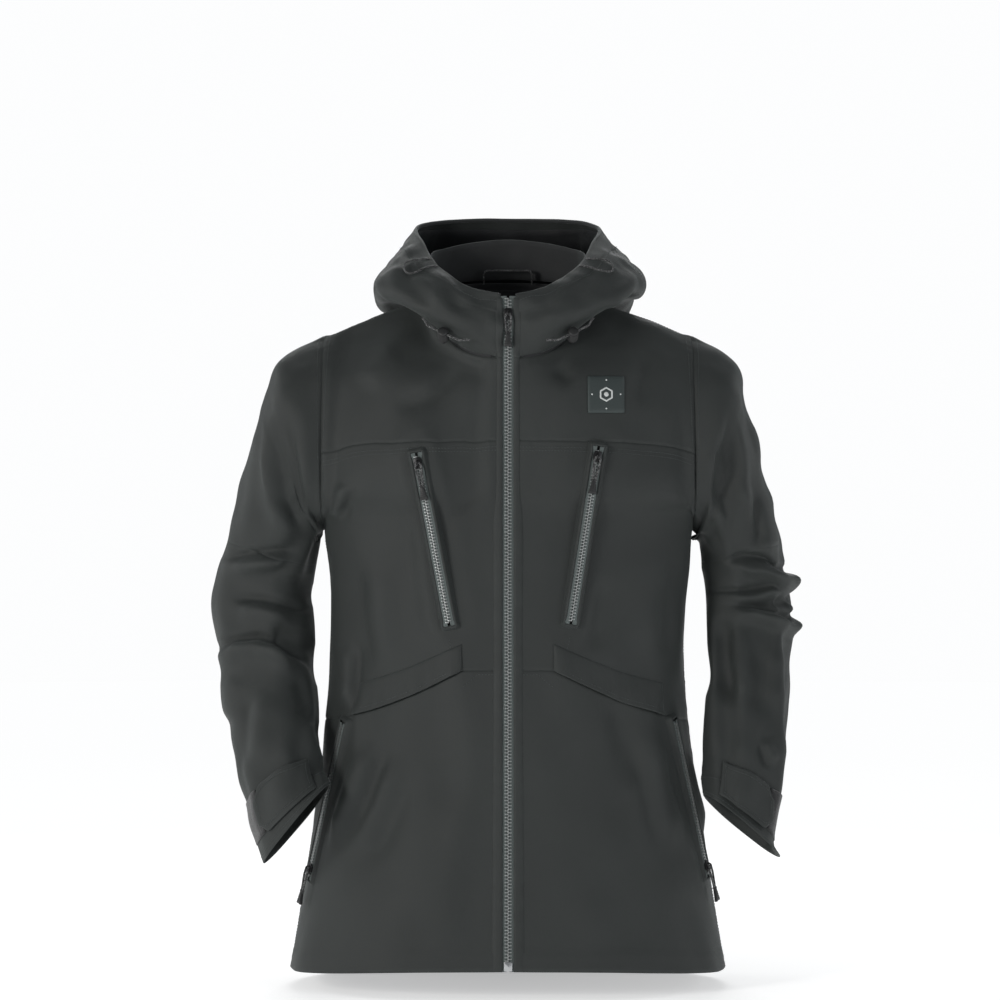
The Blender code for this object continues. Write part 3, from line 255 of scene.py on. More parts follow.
class Sheet:
    """Cloth known at columns us and rows vs, and smooth in between. outward is 1 or -1."""

    def __init__(self, us, vs, points, outward, wrap=False):
        self.us, self.vs, self.points, self.outward, self.wrap = us, vs, points, outward, wrap
        self.net = padded(points, wrap)

    def place(self, u, v):
        """Where a column and row lie among the sheet's lines."""
        if self.wrap:
            ends = np.append(self.us, float(ROUND))
            u = np.interp(np.mod(u, float(ROUND)), ends, np.arange(len(ends)))
        else:
            u = np.interp(u, self.us, np.arange(len(self.us)))
        return u, np.interp(v, self.vs, np.arange(len(self.vs)))

    def normal(self, u, v):
        """Directions out of the cloth."""
        return surface_normals(self.net, *self.place(*np.broadcast_arrays(u, v)), 0.15, self.outward)

    def at(self, u, v, lift=0.0):
        """Points on the cloth, or lifted from it by this many metres."""
        i, j = self.place(*np.broadcast_arrays(u, v))
        points = evaluate(self.net, i, j)
        lift = np.asarray(lift, float)
        if lift.any():
            points = points + self.normal(u, v) * lift[..., None]
        return points


def lines(counts):
    """Parameter values that split each unit interval into the given number of steps."""
    steps = [i + np.arange(n) / n for i, n in enumerate(counts)]
    return np.append(np.concatenate(steps), len(counts))


# ---------------------------------------------------------------- the smooth pattern surfaces
def front_line_y(z):
    """Where the front's middle line lies in depth, at this height."""
    share = (z - HEM_FRONT) / (COLLAR_TOP - HEM_FRONT)
    return TORSO_Y - FRONT_DEPTH_HEM + share * (FRONT_DEPTH_HEM - FRONT_DEPTH_TOP)


def rounded_section(angle_deg, half_width, depth):
    """How far aside and how deep a body section's outline lies at an angle from its middle."""
    angle, power = math.radians(angle_deg), 2 / SQUARENESS
    return half_width * math.sin(angle) ** power, depth * max(math.cos(angle), 0.0) ** power


def front_net():
    """The wearer's left front: a coarse net of columns and rows."""
    rows = []
    for z_front, z_side, _, half_width, _ in SECTIONS:
        row = []
        for angle in COLUMN_ANGLES:
            z = z_front + (z_side - z_front) * math.sin(math.radians(angle)) ** 2
            x, depth = rounded_section(angle, half_width, TORSO_Y - front_line_y(z_front))
            row.append((max(x, ZIP_EDGE), TORSO_Y - depth, z))
        rows.append(row)
    for xs, depths, heights in FRONT_TOP:
        row = [(x, TORSO_Y - depth, z) for x, depth, z in zip(xs, depths, heights)]
        row[0] = (ZIP_EDGE, front_line_y(heights[0]), heights[0])
        rows.append(row)
    return np.array(rows)


def back_net():
    """The left half of the back: a coarse net of columns and rows."""
    rows = []
    flat_until = COLUMN_ANGLES[2]
    for _, z_side, z_back, half_width, depth_back in SECTIONS:
        row = []
        for angle in COLUMN_ANGLES:
            rise = max(0.0, (angle - flat_until) / (90 - flat_until)) ** 1.5
            x, depth = rounded_section(angle, half_width, depth_back)
            row.append((x, TORSO_Y + depth, z_back + (z_side - z_back) * rise))
        rows.append(row)
    for xs, depths, heights in BACK_TOP:
        rows.append([(x, TORSO_Y + depth, z) for x, depth, z in zip(xs, depths, heights)])
    return np.array(rows)


def mirrored(net):
    """The points on the other side of the body."""
    return net * np.array([-1.0, 1.0, 1.0])


ROWS = lines([13, 17, 12, 10, 5, 6, 5, 5, 4])
FRONT_COLUMNS = lines([10, 7, 6, 5, 5])
BACK_COLUMNS = lines([5, 5, 6, 7, 8, 8, 7, 6, 5, 5])
SLEEVE_COLUMNS = lines([5, 6, 5, 5, 4, 4, 5, 5, 6, 5])[:-1]
SLEEVE_ROWS = lines([4, 3, 5, 8, 6, 6, 8, 9, 8])
HOOD_COLUMN_LINES = lines([6, 6, 6, 6, 7, 7, 7, 7, 6, 6, 6, 6])
HOOD_ROW_LINES = lines([5, 5, 4, 6, 6])
ARMPIT_LINE = int(np.flatnonzero(ROWS == ARMPIT)[0])


def beyond_edge(own, other):
    """The column past the side seam: the other surface's below the armpit, the edge's own run above."""
    past = 2 * own[:, -1:] - own[:, -2:-1]
    past[: ARMPIT + 1] = other[: ARMPIT + 1, -2:-1]
    return past


def padded_front():
    """The front net, with a column past the side seam that follows the back."""
    net = padded(front_net())
    net[1:-1, -1:] = beyond_edge(front_net(), back_net())
    return net


def pattern_surfaces():
    """The left front and the whole back on their lines, with edges that meet at side and shoulder."""
    back = back_net()
    past_back = beyond_edge(back, front_net())
    front_padded = padded_front()
    whole = np.concatenate([mirrored(back)[:, :0:-1], back], axis=1)
    back_padded = padded(whole)
    back_padded[1:-1, -1:], back_padded[1:-1, :1] = past_back, mirrored(past_back)
    f = evaluate(front_padded, FRONT_COLUMNS, ROWS[:, None])
    b = evaluate(back_padded, BACK_COLUMNS, ROWS[:, None])

    half = len(BACK_COLUMNS) // 2
    left = b[:, half:]
    # Side seam: both sheets move to the mean of their edges, less and less over a column.
    low = slice(0, ARMPIT_LINE + 1)
    miss = (left[low, -1] - f[low, -1]) / 2
    f[low] += miss[:, None] * (np.clip(FRONT_COLUMNS - SIDE + 1, 0, 1) ** 2)[:, None]
    left[low] -= miss[:, None] * (np.clip(BACK_COLUMNS[half:] - 2 * SIDE + 1, 0, 1) ** 2)[:, None]
    # Shoulder seam, the same way, over a row.
    fade = (np.clip(ROWS - TOP + 1, 0, 1) ** 2)[:, None, None]
    shoulder_front = FRONT_COLUMNS >= NECK
    shoulder_back = BACK_COLUMNS[half:] >= SIDE + NECK
    at_back = along_path(FRONT_COLUMNS[shoulder_front], BACK_COLUMNS[half:] - SIDE, left[-1])
    miss = (at_back - f[-1, shoulder_front]) / 2
    f[:, shoulder_front] += fade * miss
    at_front = along_path(BACK_COLUMNS[half:][shoulder_back] - SIDE, FRONT_COLUMNS, f[-1])
    left[:, shoulder_back] += fade * (at_front - left[-1, shoulder_back])
    b[:, half:] = left
    b[:, :half] = mirrored(left[:, :0:-1])
    return f, b


def sleeve_points(side, front, back):
    """Sleeve points, row 0 being the armhole's own points."""
    sign = SIDES[side]
    armhole = np.concatenate([front[ARMPIT_LINE:, -1], back[ARMPIT_LINE + 1 : -1, -1][::-1]])
    if side == "right":
        armhole = mirrored(armhole)
    coarse = armhole[np.isclose(SLEEVE_COLUMNS % 1, 0)]
    lengths = np.linalg.norm(np.roll(coarse, -1, axis=0) - coarse, axis=1)
    turns = np.concatenate([[0], np.cumsum(lengths)[:-1]]) / lengths.sum() * 2 * math.pi
    rings = [coarse]
    for (x, depth, z), heading, out_radius, front_radius in SLEEVE_RINGS[side]:
        centre = np.array([sign * x, TORSO_Y + depth, z])
        along = unit(np.array([sign * heading[0], heading[1], heading[2]]))
        ahead = np.array([0.0, -1.0, 0.0])
        ahead = unit(ahead - ahead.dot(along) * along)
        out = np.cross(ahead, along) * sign
        rings.append(
            [centre - out * out_radius * math.cos(t) + ahead * front_radius * math.sin(t) for t in turns]
        )
    points = evaluate(padded(np.array(rings), wrap=True), SLEEVE_COLUMNS, SLEEVE_ROWS[:, None])
    miss = armhole - points[0]
    return points + miss * np.clip(1 - SLEEVE_ROWS, 0, 1)[:, None, None] ** 2


def hood_net():
    """The whole hood: a padded coarse net, its columns from the wearer's left to the right."""
    half = np.array([[(x, TORSO_Y + depth, z) for x, depth, z in column] for column in HOOD_COLUMNS])
    whole = np.concatenate([half, mirrored(half)[-2::-1]])
    return padded(whole.transpose(1, 0, 2))


# ---------------------------------------------------------------- draping
def shell_lattice():
    """All shell points, their grids of indices, and the faces of the welded net."""
    front, back = pattern_surfaces()
    grids = {"left": front, "right": mirrored(front), "back": back}
    for side in SIDES:
        grids[f"{side}_sleeve"] = sleeve_points(side, front, back)
    ids, start = {}, 0
    for name, points in grids.items():
        count = points.shape[0] * points.shape[1]
        ids[name] = np.arange(start, start + count).reshape(points.shape[:2])
        start += count
    half = len(BACK_COLUMNS) // 2
    back_shoulder = int((BACK_COLUMNS[half:] < SIDE + NECK).sum())
    beside = BACK_COLUMNS[half + back_shoulder :] - SIDE
    match = np.round(np.interp(beside, FRONT_COLUMNS, np.arange(len(FRONT_COLUMNS)))).astype(int)
    for side, edge, top in (
        ("left", -1, slice(half + back_shoulder, None)),
        ("right", 0, slice(half - back_shoulder, None, -1)),
    ):
        ids["back"][: ARMPIT_LINE + 1, edge] = ids[side][: ARMPIT_LINE + 1, -1]
        ids["back"][-1, top] = ids[side][-1, match]
        back_edge = ids["back"][ARMPIT_LINE + 1 : -1, edge][::-1]
        ids[f"{side}_sleeve"][0] = np.concatenate([ids[side][ARMPIT_LINE:, -1], back_edge])
    points = np.concatenate([g.reshape(-1, 3) for g in grids.values()])
    faces = [quads(looped(grid) if name.endswith("sleeve") else grid) for name, grid in ids.items()]
    return points, ids, np.concatenate(faces)


def in_scene(name, data):
    """An object of this data, in the scene."""
    obj = bpy.data.objects.new(name, data)
    bpy.context.scene.collection.objects.link(obj)
    return obj


def mesh_object(name, points, faces, uvs=None, crease_angle=None):
    """A mesh object, smooth but for its end caps, or smooth but for its creases if their angle is given.

    uvs holds one pair for every corner of every face.
    """
    mesh = bpy.data.meshes.new(name)
    faces = faces.tolist() if isinstance(faces, np.ndarray) else faces
    mesh.from_pydata(np.asarray(points).tolist(), [], faces)
    if uvs is not None:
        mesh.uv_layers.new(name="UVMap").data.foreach_set("uv", np.asarray(uvs, np.float32).ravel())
    mesh.polygons.foreach_set("use_smooth", [bool(crease_angle) or len(face) == 4 for face in faces])
    if crease_angle:
        mesh.set_sharp_from_angle(angle=math.radians(crease_angle))
    return in_scene(name, mesh)


def removed(obj):
    """Takes a mesh object out of the scene for good."""
    mesh = obj.data
    bpy.data.objects.remove(obj)
    bpy.data.meshes.remove(mesh)


SIM_FRAMES = 22
DRAPE_SETTINGS = {
    "quality": 5,
    "mass": 0.25,
    "air_damping": 2.0,
    "tension_stiffness": 18,
    "compression_stiffness": 18,
    "shear_stiffness": 6,
    "bending_stiffness": 4.0,
    "tension_damping": 8,
    "compression_damping": 8,
    "bending_damping": 1.2,
    "pin_stiffness": 1.0,
}
BODY_GAP = 0.013  # the body form stands this far inside the cloth
ARM_SHARE = 0.70  # the arm's radius as a share of the sleeve's
SLEEVE_EXTRA = (0.02, 0.05, 0.10, 0.15, 0.17, 0.13, 0.10, 0.12, 0.13)  # length to spare, ring by ring
BODY_EXTRA = 0.022  # how much wider and longer the body's cloth is cut, as a share
MOST_OUT, MOST_IN, MOST_ASIDE = 0.0095, 0.0130, 0.004  # how far the drape may move the cloth
SAG_KEPT = 0.25  # share of the broad sag that is kept; the folds are kept whole


def sleeve_centres(points, grid):
    """The middle of each of a sleeve's rings."""
    return points[grid].mean(axis=1)


def spare_cloth(points, ids):
    """Where each point would lie if the cloth were flat: sleeves cut long, the body a little wide."""
    grown = points.copy()
    below = np.clip(0.56 - points[:, 2], 0, None)
    grown[:, 2] -= BODY_EXTRA * below
    widen = 1 + 0.9 * BODY_EXTRA * smooth(0.60, 0.30, points[:, 2])
    grown[:, 0] *= widen
    grown[:, 1] = TORSO_Y + (points[:, 1] - TORSO_Y) * widen
    for side in SIDES:
        grid = ids[f"{side}_sleeve"]
        centres = sleeve_centres(points, grid)
        extra = np.interp(SLEEVE_ROWS, np.arange(1, CUFF + 1), SLEEVE_EXTRA)
        steps = np.diff(centres, axis=0) * (1 + extra[1:, None])
        rest = centres[:1] + np.concatenate([np.zeros((1, 3)), np.cumsum(steps, axis=0)])
        spread = 1 + 0.03 * smooth(1, 3, SLEEVE_ROWS)
        moved = rest[:, None] + (points[grid] - centres[:, None]) * spread[:, None, None]
        grown[grid[1:]] = moved[1:]
    return grown


def body_form(points, ids, faces):
    """The form under the cloth: the same net, drawn in; the sleeves, drawn in, stand for a wearer's arms."""
    form = points.copy()
    for name in ("left", "right", "back"):
        grid = ids[name]
        p = points[grid]
        normal = grid_normals(p)
        middle = np.array([0.0, TORSO_Y, 0.0])
        flat = (p - middle) * np.array([1.0, 1.0, 0.0])
        normal *= np.sign((normal * flat).sum(-1, keepdims=True) + 1e-9)
        top = normal[ROWS > YOKE + 1]
        normal[ROWS > YOKE + 1] = np.where(top[..., 2:] < 0, -top, top)
        form[grid] = p - normal * BODY_GAP
    for side in SIDES:
        grid = ids[f"{side}_sleeve"]
        centres = sleeve_centres(points, grid)
        share = ARM_SHARE - 0.12 * smooth(1.5, 0, SLEEVE_ROWS)
        drawn = centres[:, None] + (points[grid] - centres[:, None]) * share[:, None, None]
        form[grid[3:]] = drawn[3:]
    return mesh_object("body_form", form, faces)


def near_line(points, start, end, reach):
    """1 for points within reach of the segment, falling to 0 over the same distance again."""
    start, end = np.asarray(start), np.asarray(end)
    along = end - start
    t = np.clip((points - start) @ along / along.dot(along), 0, 1)
    gap = np.linalg.norm(points - start - t[:, None] * along, axis=1)
    return smooth(2 * reach, reach, gap)


def held_points(points, ids, zips):
    """How firmly each point is held: 1 at the neck, hem, front edges, zips and cuffs."""
    held = np.full(len(points), 0.04)

    def hold(grid, *weights):
        for weight in weights:
            held[grid] = np.maximum(held[grid], weight)

    near_neck = smooth(8.4, 8.9, ROWS)[:, None]
    hem = smooth(0.20, 0.0, ROWS)[:, None]
    for side in SIDES:
        edge = smooth(0.6, 0.1, FRONT_COLUMNS)
        hold(ids[side], edge, near_neck * smooth(3.8, 3.2, FRONT_COLUMNS), hem)
        ends = np.maximum(smooth(8.70, 8.95, SLEEVE_ROWS), smooth(0.9, 0.0, SLEEVE_ROWS))
        hold(ids[f"{side}_sleeve"], ends[:, None])
    hold(ids["back"], near_neck * smooth(2.6, 2.0, np.abs(BACK_COLUMNS - SIDE)), hem)
    front = points[:, 1] < TORSO_Y
    for start, end, reach in zips:
        held[front] = np.maximum(held[front], near_line(points[front], start, end, reach))
    return held


def simulate(cloth, form, held):
    """Blender's Cloth over the body form. Returns the draped points."""
    form.modifiers.new("collision", "COLLISION")
    form.collision.thickness_outer = 0.003
    form.collision.thickness_inner = 0.008
    form.collision.cloth_friction = 12
    group = cloth.vertex_groups.new(name="held")
    levels = np.round(held, 2)
    for level in np.unique(levels[levels > 0]):
        group.add(np.flatnonzero(levels == level).tolist(), float(level), "REPLACE")
    modifier = cloth.modifiers.new("drape", "CLOTH")
    settings = modifier.settings
    for key, value in DRAPE_SETTINGS.items():
        setattr(settings, key, value)
    settings.effector_weights.gravity = 0.35
    settings.vertex_group_mass = "held"
    settings.rest_shape_key = cloth.data.shape_keys.key_blocks["flat"]
    modifier.collision_settings.distance_min = 0.002
    modifier.collision_settings.collision_quality = 2
    modifier.collision_settings.use_self_collision = False
    modifier.point_cache.frame_start = 1
    modifier.point_cache.frame_end = SIM_FRAMES
    for number in range(1, SIM_FRAMES + 1):
        bpy.context.scene.frame_set(number)
    evaluated = cloth.evaluated_get(bpy.context.evaluated_depsgraph_get())
    draped = np.empty(len(cloth.data.vertices) * 3)
    evaluated.data.vertices.foreach_get("co", draped)
    bpy.context.scene.frame_set(1)
    return draped.reshape(-1, 3)


def drape(points, ids, faces, zips):
    """The net draped over the body form."""
    used = np.unique(faces)
    renumber = np.full(len(points), -1)
    renumber[used] = np.arange(len(used))
    cloth = mesh_object("cloth", points[used], renumber[faces])
    cloth.shape_key_add(name="Basis")
    flat = cloth.shape_key_add(name="flat")
    flat.data.foreach_set("co", spare_cloth(points, ids)[used].ravel())
    flat.value = 0.0
    form = body_form(points, ids, faces)
    held = held_points(points, ids, zips)[used]
    draped = points.copy()
    draped[used] = simulate(cloth, form, held)
    removed(cloth)
    removed(form)
    return draped


def evened(field, closed, passes=3):
    """Neighbour averages over a grid; its border rows and columns stay."""
    for _ in range(passes):
        wide = widened(field) if closed else field
        mean = (wide[1:-1, :-2] + wide[1:-1, 2:] + wide[:-2, 1:-1] + wide[2:, 1:-1]) / 4
        if closed:
            field[1:-1] = (field[1:-1] + mean) / 2
        else:
            field[1:-1, 1:-1] = (field[1:-1, 1:-1] + mean) / 2
    return field


def kept_close(points, draped, ids):
    """The drape's moves, limited out, in and along the cloth."""
    result = points.copy()
    for name, grid in ids.items():
        closed = name.endswith("sleeve")
        p, move = points[grid], evened((draped - points)[grid], closed, 4 if closed else 12)
        sag = evened(move.copy(), closed, 80)
        move = (move - sag) + SAG_KEPT * sag
        if closed:
            move *= smooth(0.2, 2.4, SLEEVE_ROWS)[:, None, None]
        normal = grid_normals(p, closed)
        middle = p.mean(axis=1, keepdims=True) if closed else np.array([0.0, TORSO_Y, 0.35])
        normal *= np.sign((normal * (p - middle)).sum(-1).mean())
        out = (move * normal).sum(-1)
        aside = move - out[..., None] * normal
        most = np.where(out > 0, MOST_OUT, MOST_IN)
        soft = most * np.tanh(out / most)
        length = np.linalg.norm(aside, axis=-1, keepdims=True)
        aside *= MOST_ASIDE * np.tanh(length / MOST_ASIDE) / np.maximum(length, 1e-9)
        free = loose_front(p, FRONT_COLUMNS, ROWS)[..., None] if name in SIDES else 1.0
        result[grid] = p + (soft[..., None] * normal + aside) * free
    return result


# ---------------------------------------------------------------- folds placed one by one
# Each fold is a ridge (or, with a negative height, a valley) along a line in the front view: the
# line's (x, z) points, height, half width, and the side of a sharp crease: 1 right of the line's
# direction, -1 left of it, 0 for none. All in metres.
FOLD_HEIGHT = 1.55  # the front's and the sleeves' folds are raised this many times their height
SLEEVE_WAVES = 0.0016
SLEEVE_FOLDS = {
    "right": (
        (((-0.273, 0.619), (-0.265, 0.538), (-0.240, 0.492)), 0.0060, 0.011, -1),
        (((-0.2365, 0.650), (-0.2385, 0.569), (-0.232, 0.497)), -0.0055, 0.012, 0),
        (((-0.325, 0.464), (-0.275, 0.472), (-0.228, 0.472)), 0.0055, 0.009, -1),
        (((-0.318, 0.4205), (-0.278, 0.418), (-0.216, 0.400)), 0.0045, 0.010, -1),
        (((-0.271, 0.401), (-0.240, 0.386), (-0.209, 0.370)), -0.0080, 0.011, 0),
        (((-0.330, 0.356), (-0.305, 0.3754), (-0.282, 0.3787), (-0.262, 0.3732), (-0.239, 0.3556),
          (-0.219, 0.3325)), 0.0075, 0.009, -1),
        (((-0.310, 0.351), (-0.3146, 0.2885)), 0.0030, 0.010, 0),
        (((-0.238, 0.352), (-0.220, 0.308)), -0.0050, 0.008, 0),
        (((-0.229, 0.321), (-0.213, 0.293)), -0.0050, 0.009, 0),
        (((-0.2706, 0.3325), (-0.278, 0.2445)), 0.0035, 0.015, 1),
    ),
    "left": (
        (((0.257, 0.6515), (0.2684, 0.5745), (0.2607, 0.4975)), 0.0055, 0.012, 1),
        (((0.235, 0.6185), (0.242, 0.5195)), -0.0050, 0.010, 0),
        (((0.298, 0.560), (0.300, 0.500), (0.285, 0.470)), 0.0040, 0.011, 1),
        (((0.229, 0.4568), (0.2607, 0.4634), (0.2882, 0.4623), (0.3124, 0.4557), (0.332, 0.449),
          (0.375, 0.438)), 0.0075, 0.009, -1),
        (((0.226, 0.4282), (0.2607, 0.4315), (0.297, 0.437), (0.319, 0.4315)), 0.0045, 0.007, -1),
        (((0.270, 0.4275), (0.330, 0.4304), (0.375, 0.431)), -0.0075, 0.007, 0),
        (((0.228, 0.4139), (0.2728, 0.415), (0.3168, 0.404), (0.330, 0.400), (0.372, 0.388)),
         0.0070, 0.008, -1),
        (((0.2398, 0.4172), (0.2431, 0.3105)), -0.0060, 0.008, 0),
        (((0.253, 0.404), (0.256, 0.316)), 0.0035, 0.010, 0),
        (((0.2871, 0.2808), (0.3025, 0.2533)), 0.0035, 0.007, 1),
        (((0.300, 0.380), (0.296, 0.310)), 0.0025, 0.013, 1),
    ),
}
BODY_FOLDS = (
    (((-0.1496, 0.283), (-0.1716, 0.2225), (-0.2046, 0.1565)), 0.0065, 0.014, -1),
    (((-0.1243, 0.2687), (-0.1793, 0.1455)), 0.0035, 0.020, -1),
    (((-0.1793, 0.3875), (-0.1771, 0.305)), 0.0040, 0.007, -1),
    (((-0.1837, 0.5613), (-0.1958, 0.5195)), 0.0035, 0.008, -1),
    (((-0.150, 0.480), (-0.135, 0.350)), 0.0025, 0.016, 1),
    (((0.1023, 0.4601), (0.0946, 0.371)), -0.0030, 0.014, 0),
    (((0.1848, 0.272), (0.220, 0.1587)), 0.0060, 0.010, 1),
    (((0.1155, 0.3336), (0.1408, 0.2203)), -0.0035, 0.014, 0),
    (((0.150, 0.300), (0.185, 0.150)), 0.0035, 0.014, 1),
    (((0.165, 0.500), (0.150, 0.360)), 0.0030, 0.016, -1),
    (((0.1617, 0.712), (0.1408, 0.6427)), -0.0035, 0.012, 0),
    (((-0.055, 0.694), (-0.085, 0.660), (-0.130, 0.640)), -0.0030, 0.010, 0),
    (((0.050, 0.690), (0.075, 0.668)), -0.0030, 0.009, 0),
    (((-0.120, 0.715), (-0.165, 0.668)), 0.0030, 0.014, 0),
    (((-0.060, 0.240), (-0.085, 0.050)), 0.0030, 0.028, 0),
    (((0.070, 0.230), (0.095, 0.050)), 0.0030, 0.028, 0),
)
BACK_FOLDS = (
    (((-0.150, 0.530), (-0.100, 0.440), (-0.070, 0.340)), 0.0040, 0.014, 1),
    (((0.155, 0.520), (0.110, 0.430), (0.085, 0.330)), 0.0040, 0.014, -1),
    (((-0.120, 0.300), (0.000, 0.285), (0.110, 0.305)), 0.0035, 0.013, 1),
    (((-0.060, 0.700), (0.010, 0.690), (0.070, 0.702)), 0.0030, 0.013, 0),
    (((-0.150, 0.260), (-0.165, 0.100)), 0.0040, 0.016, -1),
    (((0.140, 0.270), (0.160, 0.090)), 0.0040, 0.017, 1),
    (((-0.020, 0.240), (-0.030, 0.060)), 0.0030, 0.022, 0),
)


def folds(points, strokes):
    """How far each point is raised by the strokes, seen from the front."""
    raised = np.zeros(points.shape[:-1])
    flat = points[..., [0, 2]]
    for line, height, half_width, lean in strokes:
        line = np.array(line)
        steps = np.diff(line, axis=0)
        lengths = np.linalg.norm(steps, axis=1)
        nearest = np.full(flat.shape[:-1], 9.0)
        side, share = np.zeros(nearest.shape), np.zeros(nearest.shape)
        run = 0.0
        for start, step, length in zip(line, steps, lengths):
            t = np.clip((flat - start) @ step / length**2, 0, 1)
            away = flat - start - t[..., None] * step
            gap = np.linalg.norm(away, axis=-1)
            closer = gap < nearest
            nearest = np.where(closer, gap, nearest)
            side = np.where(closer, np.sign(away @ np.array([step[1], -step[0]])), side)
            share = np.where(closer, (run + t * length) / lengths.sum(), share)
            run += length
        ends = smooth(0, 0.3, share) * smooth(1, 0.7, share)
        across = nearest / half_width
        shape = np.exp(-(across**2))
        if lean:
            shape -= 0.75 * np.exp(-(((across * side * lean - 1.25) / 0.55) ** 2))
        raised += height * ends * shape
    return raised


def wander(points, size, seed):
    """Soft noise between -1 and 1: a sum of tilted waves."""
    rng = np.random.default_rng(seed)
    total = np.zeros(points.shape[:-1])
    for _ in range(7):
        wave = rng.normal(size=3)
        wave *= rng.uniform(0.6, 1.5) / (size * np.linalg.norm(wave))
        total += np.sin(2 * math.pi * (points @ wave) + rng.uniform(0, 2 * math.pi))
    return total / 3.5


def raise_cloth(points, amount, outward, closed=False):
    """The grid of points, each moved out by its amount."""
    return points + grid_normals(points, closed) * outward * amount[..., None]


def finer(grid_lines, times=3):
    """The same lines with more between them."""
    count = len(grid_lines)
    return np.interp(np.arange(0, count - 1 + 1e-9, 1 / times), np.arange(count), grid_lines)


def sleeve_amount(side, flat, rows):
    """How far the sleeve's cloth is raised: its folds in front, softer waves behind."""
    front = sleeve_front(flat)
    beyond = np.abs(flat[..., 0]) - np.abs(flat.mean(axis=1, keepdims=True)[..., 0])
    outer = smooth(-0.005, 0.020, beyond)
    ahead = smooth(0.0, 0.05, front)
    ahead = ahead + (smooth(-0.030, 0.006, front) - ahead) * outer
    amount = FOLD_HEIGHT * folds(flat, SLEEVE_FOLDS[side]) * ahead
    amount += SLEEVE_WAVES * wander(flat, 0.055, 11)
    amount += (1 - ahead) * 0.0030 * wander(flat * np.array([0.7, 0.7, 1.3]), 0.085, 12)
    towards_body = smooth(0.012, 0.034, -beyond)
    amount = np.where(amount > 0, amount * (1 - 0.85 * towards_body), amount)
    return amount * smooth(0.0, 1.2, rows)[:, None] * smooth(CUFF, CUFF - 0.6, rows)[:, None]


def back_amount(flat, us, vs):
    """How far the back's cloth is raised: upright waves and a few folds, none at its edges."""
    amount = 0.0030 * wander(flat * np.array([1.0, 1.0, 0.35]), 0.080, 21) + folds(flat, BACK_FOLDS)
    amount *= smooth(0, 1.0, us) * smooth(2 * SIDE, 2 * SIDE - 1, us)
    return amount * smooth(TOP, TOP - 1, vs)[:, None] * smooth(-0.3, 0.8, vs)[:, None]


def front_amount(flat, us, vs):
    """How far a front's cloth is raised: its folds and slight waves."""
    amount = FOLD_HEIGHT * folds(flat, BODY_FOLDS) + 0.0013 * wander(flat, 0.060, 31)
    return amount * loose_front(flat, us, vs)


def hood_amount(hood):
    """How far the hood's cloth is raised: waves, less at its edges and none at the cord locks."""
    from_throat = HOOD_LAST / 2 - np.abs(HOOD_COLUMN_LINES - HOOD_LAST / 2)
    near_throat = smooth(3.2, 1.2, from_throat)
    amount = 0.0035 * wander(hood, 0.070, 41)
    amount += (0.0014 + 0.0016 * near_throat) * wander(hood, 0.030, 42)
    amount *= smooth(0.0, 1.5, HOOD_ROW_LINES)[:, None] * smooth(5.4, 4.2, HOOD_ROW_LINES)[:, None]
    net = padded(hood)
    for end in (LOCK_COLUMN, HOOD_LAST - LOCK_COLUMN):
        low, high = (evaluate(net, *hood_place(end + reach, 1.0)) for reach in (-0.55, 0.55))
        amount *= 1 - near_line(hood.reshape(-1, 3), low, high, 0.016).reshape(amount.shape)
    return amount


def make_sheets():
    """The jacket's smooth sheets, draped and folded: fronts, back, sleeves and hood.

    Each has an _under sheet too, which takes the valleys but not the ridges: linings lie inside that.
    """
    points, ids, faces = shell_lattice()
    pattern = {name: points[grid] for name, grid in ids.items()}
    draped = drape(points, ids, faces, zip_lines())
    points = kept_close(points, draped, ids)
    sheets = {}
    for name, grid in ids.items():
        closed = name.endswith("sleeve")
        side = name.split("_")[0]
        outward = -SIDES[side] if closed else SIDES.get(side, -1)
        us, vs = BACK_COLUMNS if name == "back" else FRONT_COLUMNS, ROWS
        if closed:
            us, vs = SLEEVE_COLUMNS, SLEEVE_ROWS
        fine_u = finer(np.append(us, float(ROUND)))[:-1] if closed else finer(us)
        fine_v = finer(vs)
        shape = Sheet(us, vs, points[grid], outward, closed).at(fine_u, fine_v[:, None])
        flat = Sheet(us, vs, pattern[name], outward, closed).at(fine_u, fine_v[:, None])
        if closed:
            amount = sleeve_amount(side, flat, fine_v)
            near_pit = np.exp(-((np.linalg.norm(flat - flat[0, 0], axis=-1) / 0.020) ** 2))
            shape[..., 2] -= 0.009 * near_pit * smooth(0.0, 0.8, fine_v)[:, None]
        else:
            amount = (back_amount if name == "back" else front_amount)(flat, fine_u, fine_v)
        low = evened(np.minimum(amount, 0.0) - 0.0004, closed, 6)
        for kind, raised in ((name, amount), (f"{name}_under", low)):
            cloth = raise_cloth(shape, raised, outward, closed)
            sheets[kind] = Sheet(fine_u, fine_v, cloth, outward, closed)
    hood = evaluate(hood_net(), HOOD_COLUMN_LINES, HOOD_ROW_LINES[:, None])
    amount = hood_amount(hood)
    hood = onto_neck(hood, sheets)
    sheets["hood"] = Sheet(HOOD_COLUMN_LINES, HOOD_ROW_LINES, raise_cloth(hood, amount, 1), 1)
    return sheets


def hood_place(u, v):
    """Where a column and row of the hood lie among its lines."""
    return (np.interp(u, HOOD_COLUMN_LINES, np.arange(len(HOOD_COLUMN_LINES))),
            np.interp(v, HOOD_ROW_LINES, np.arange(len(HOOD_ROW_LINES))))


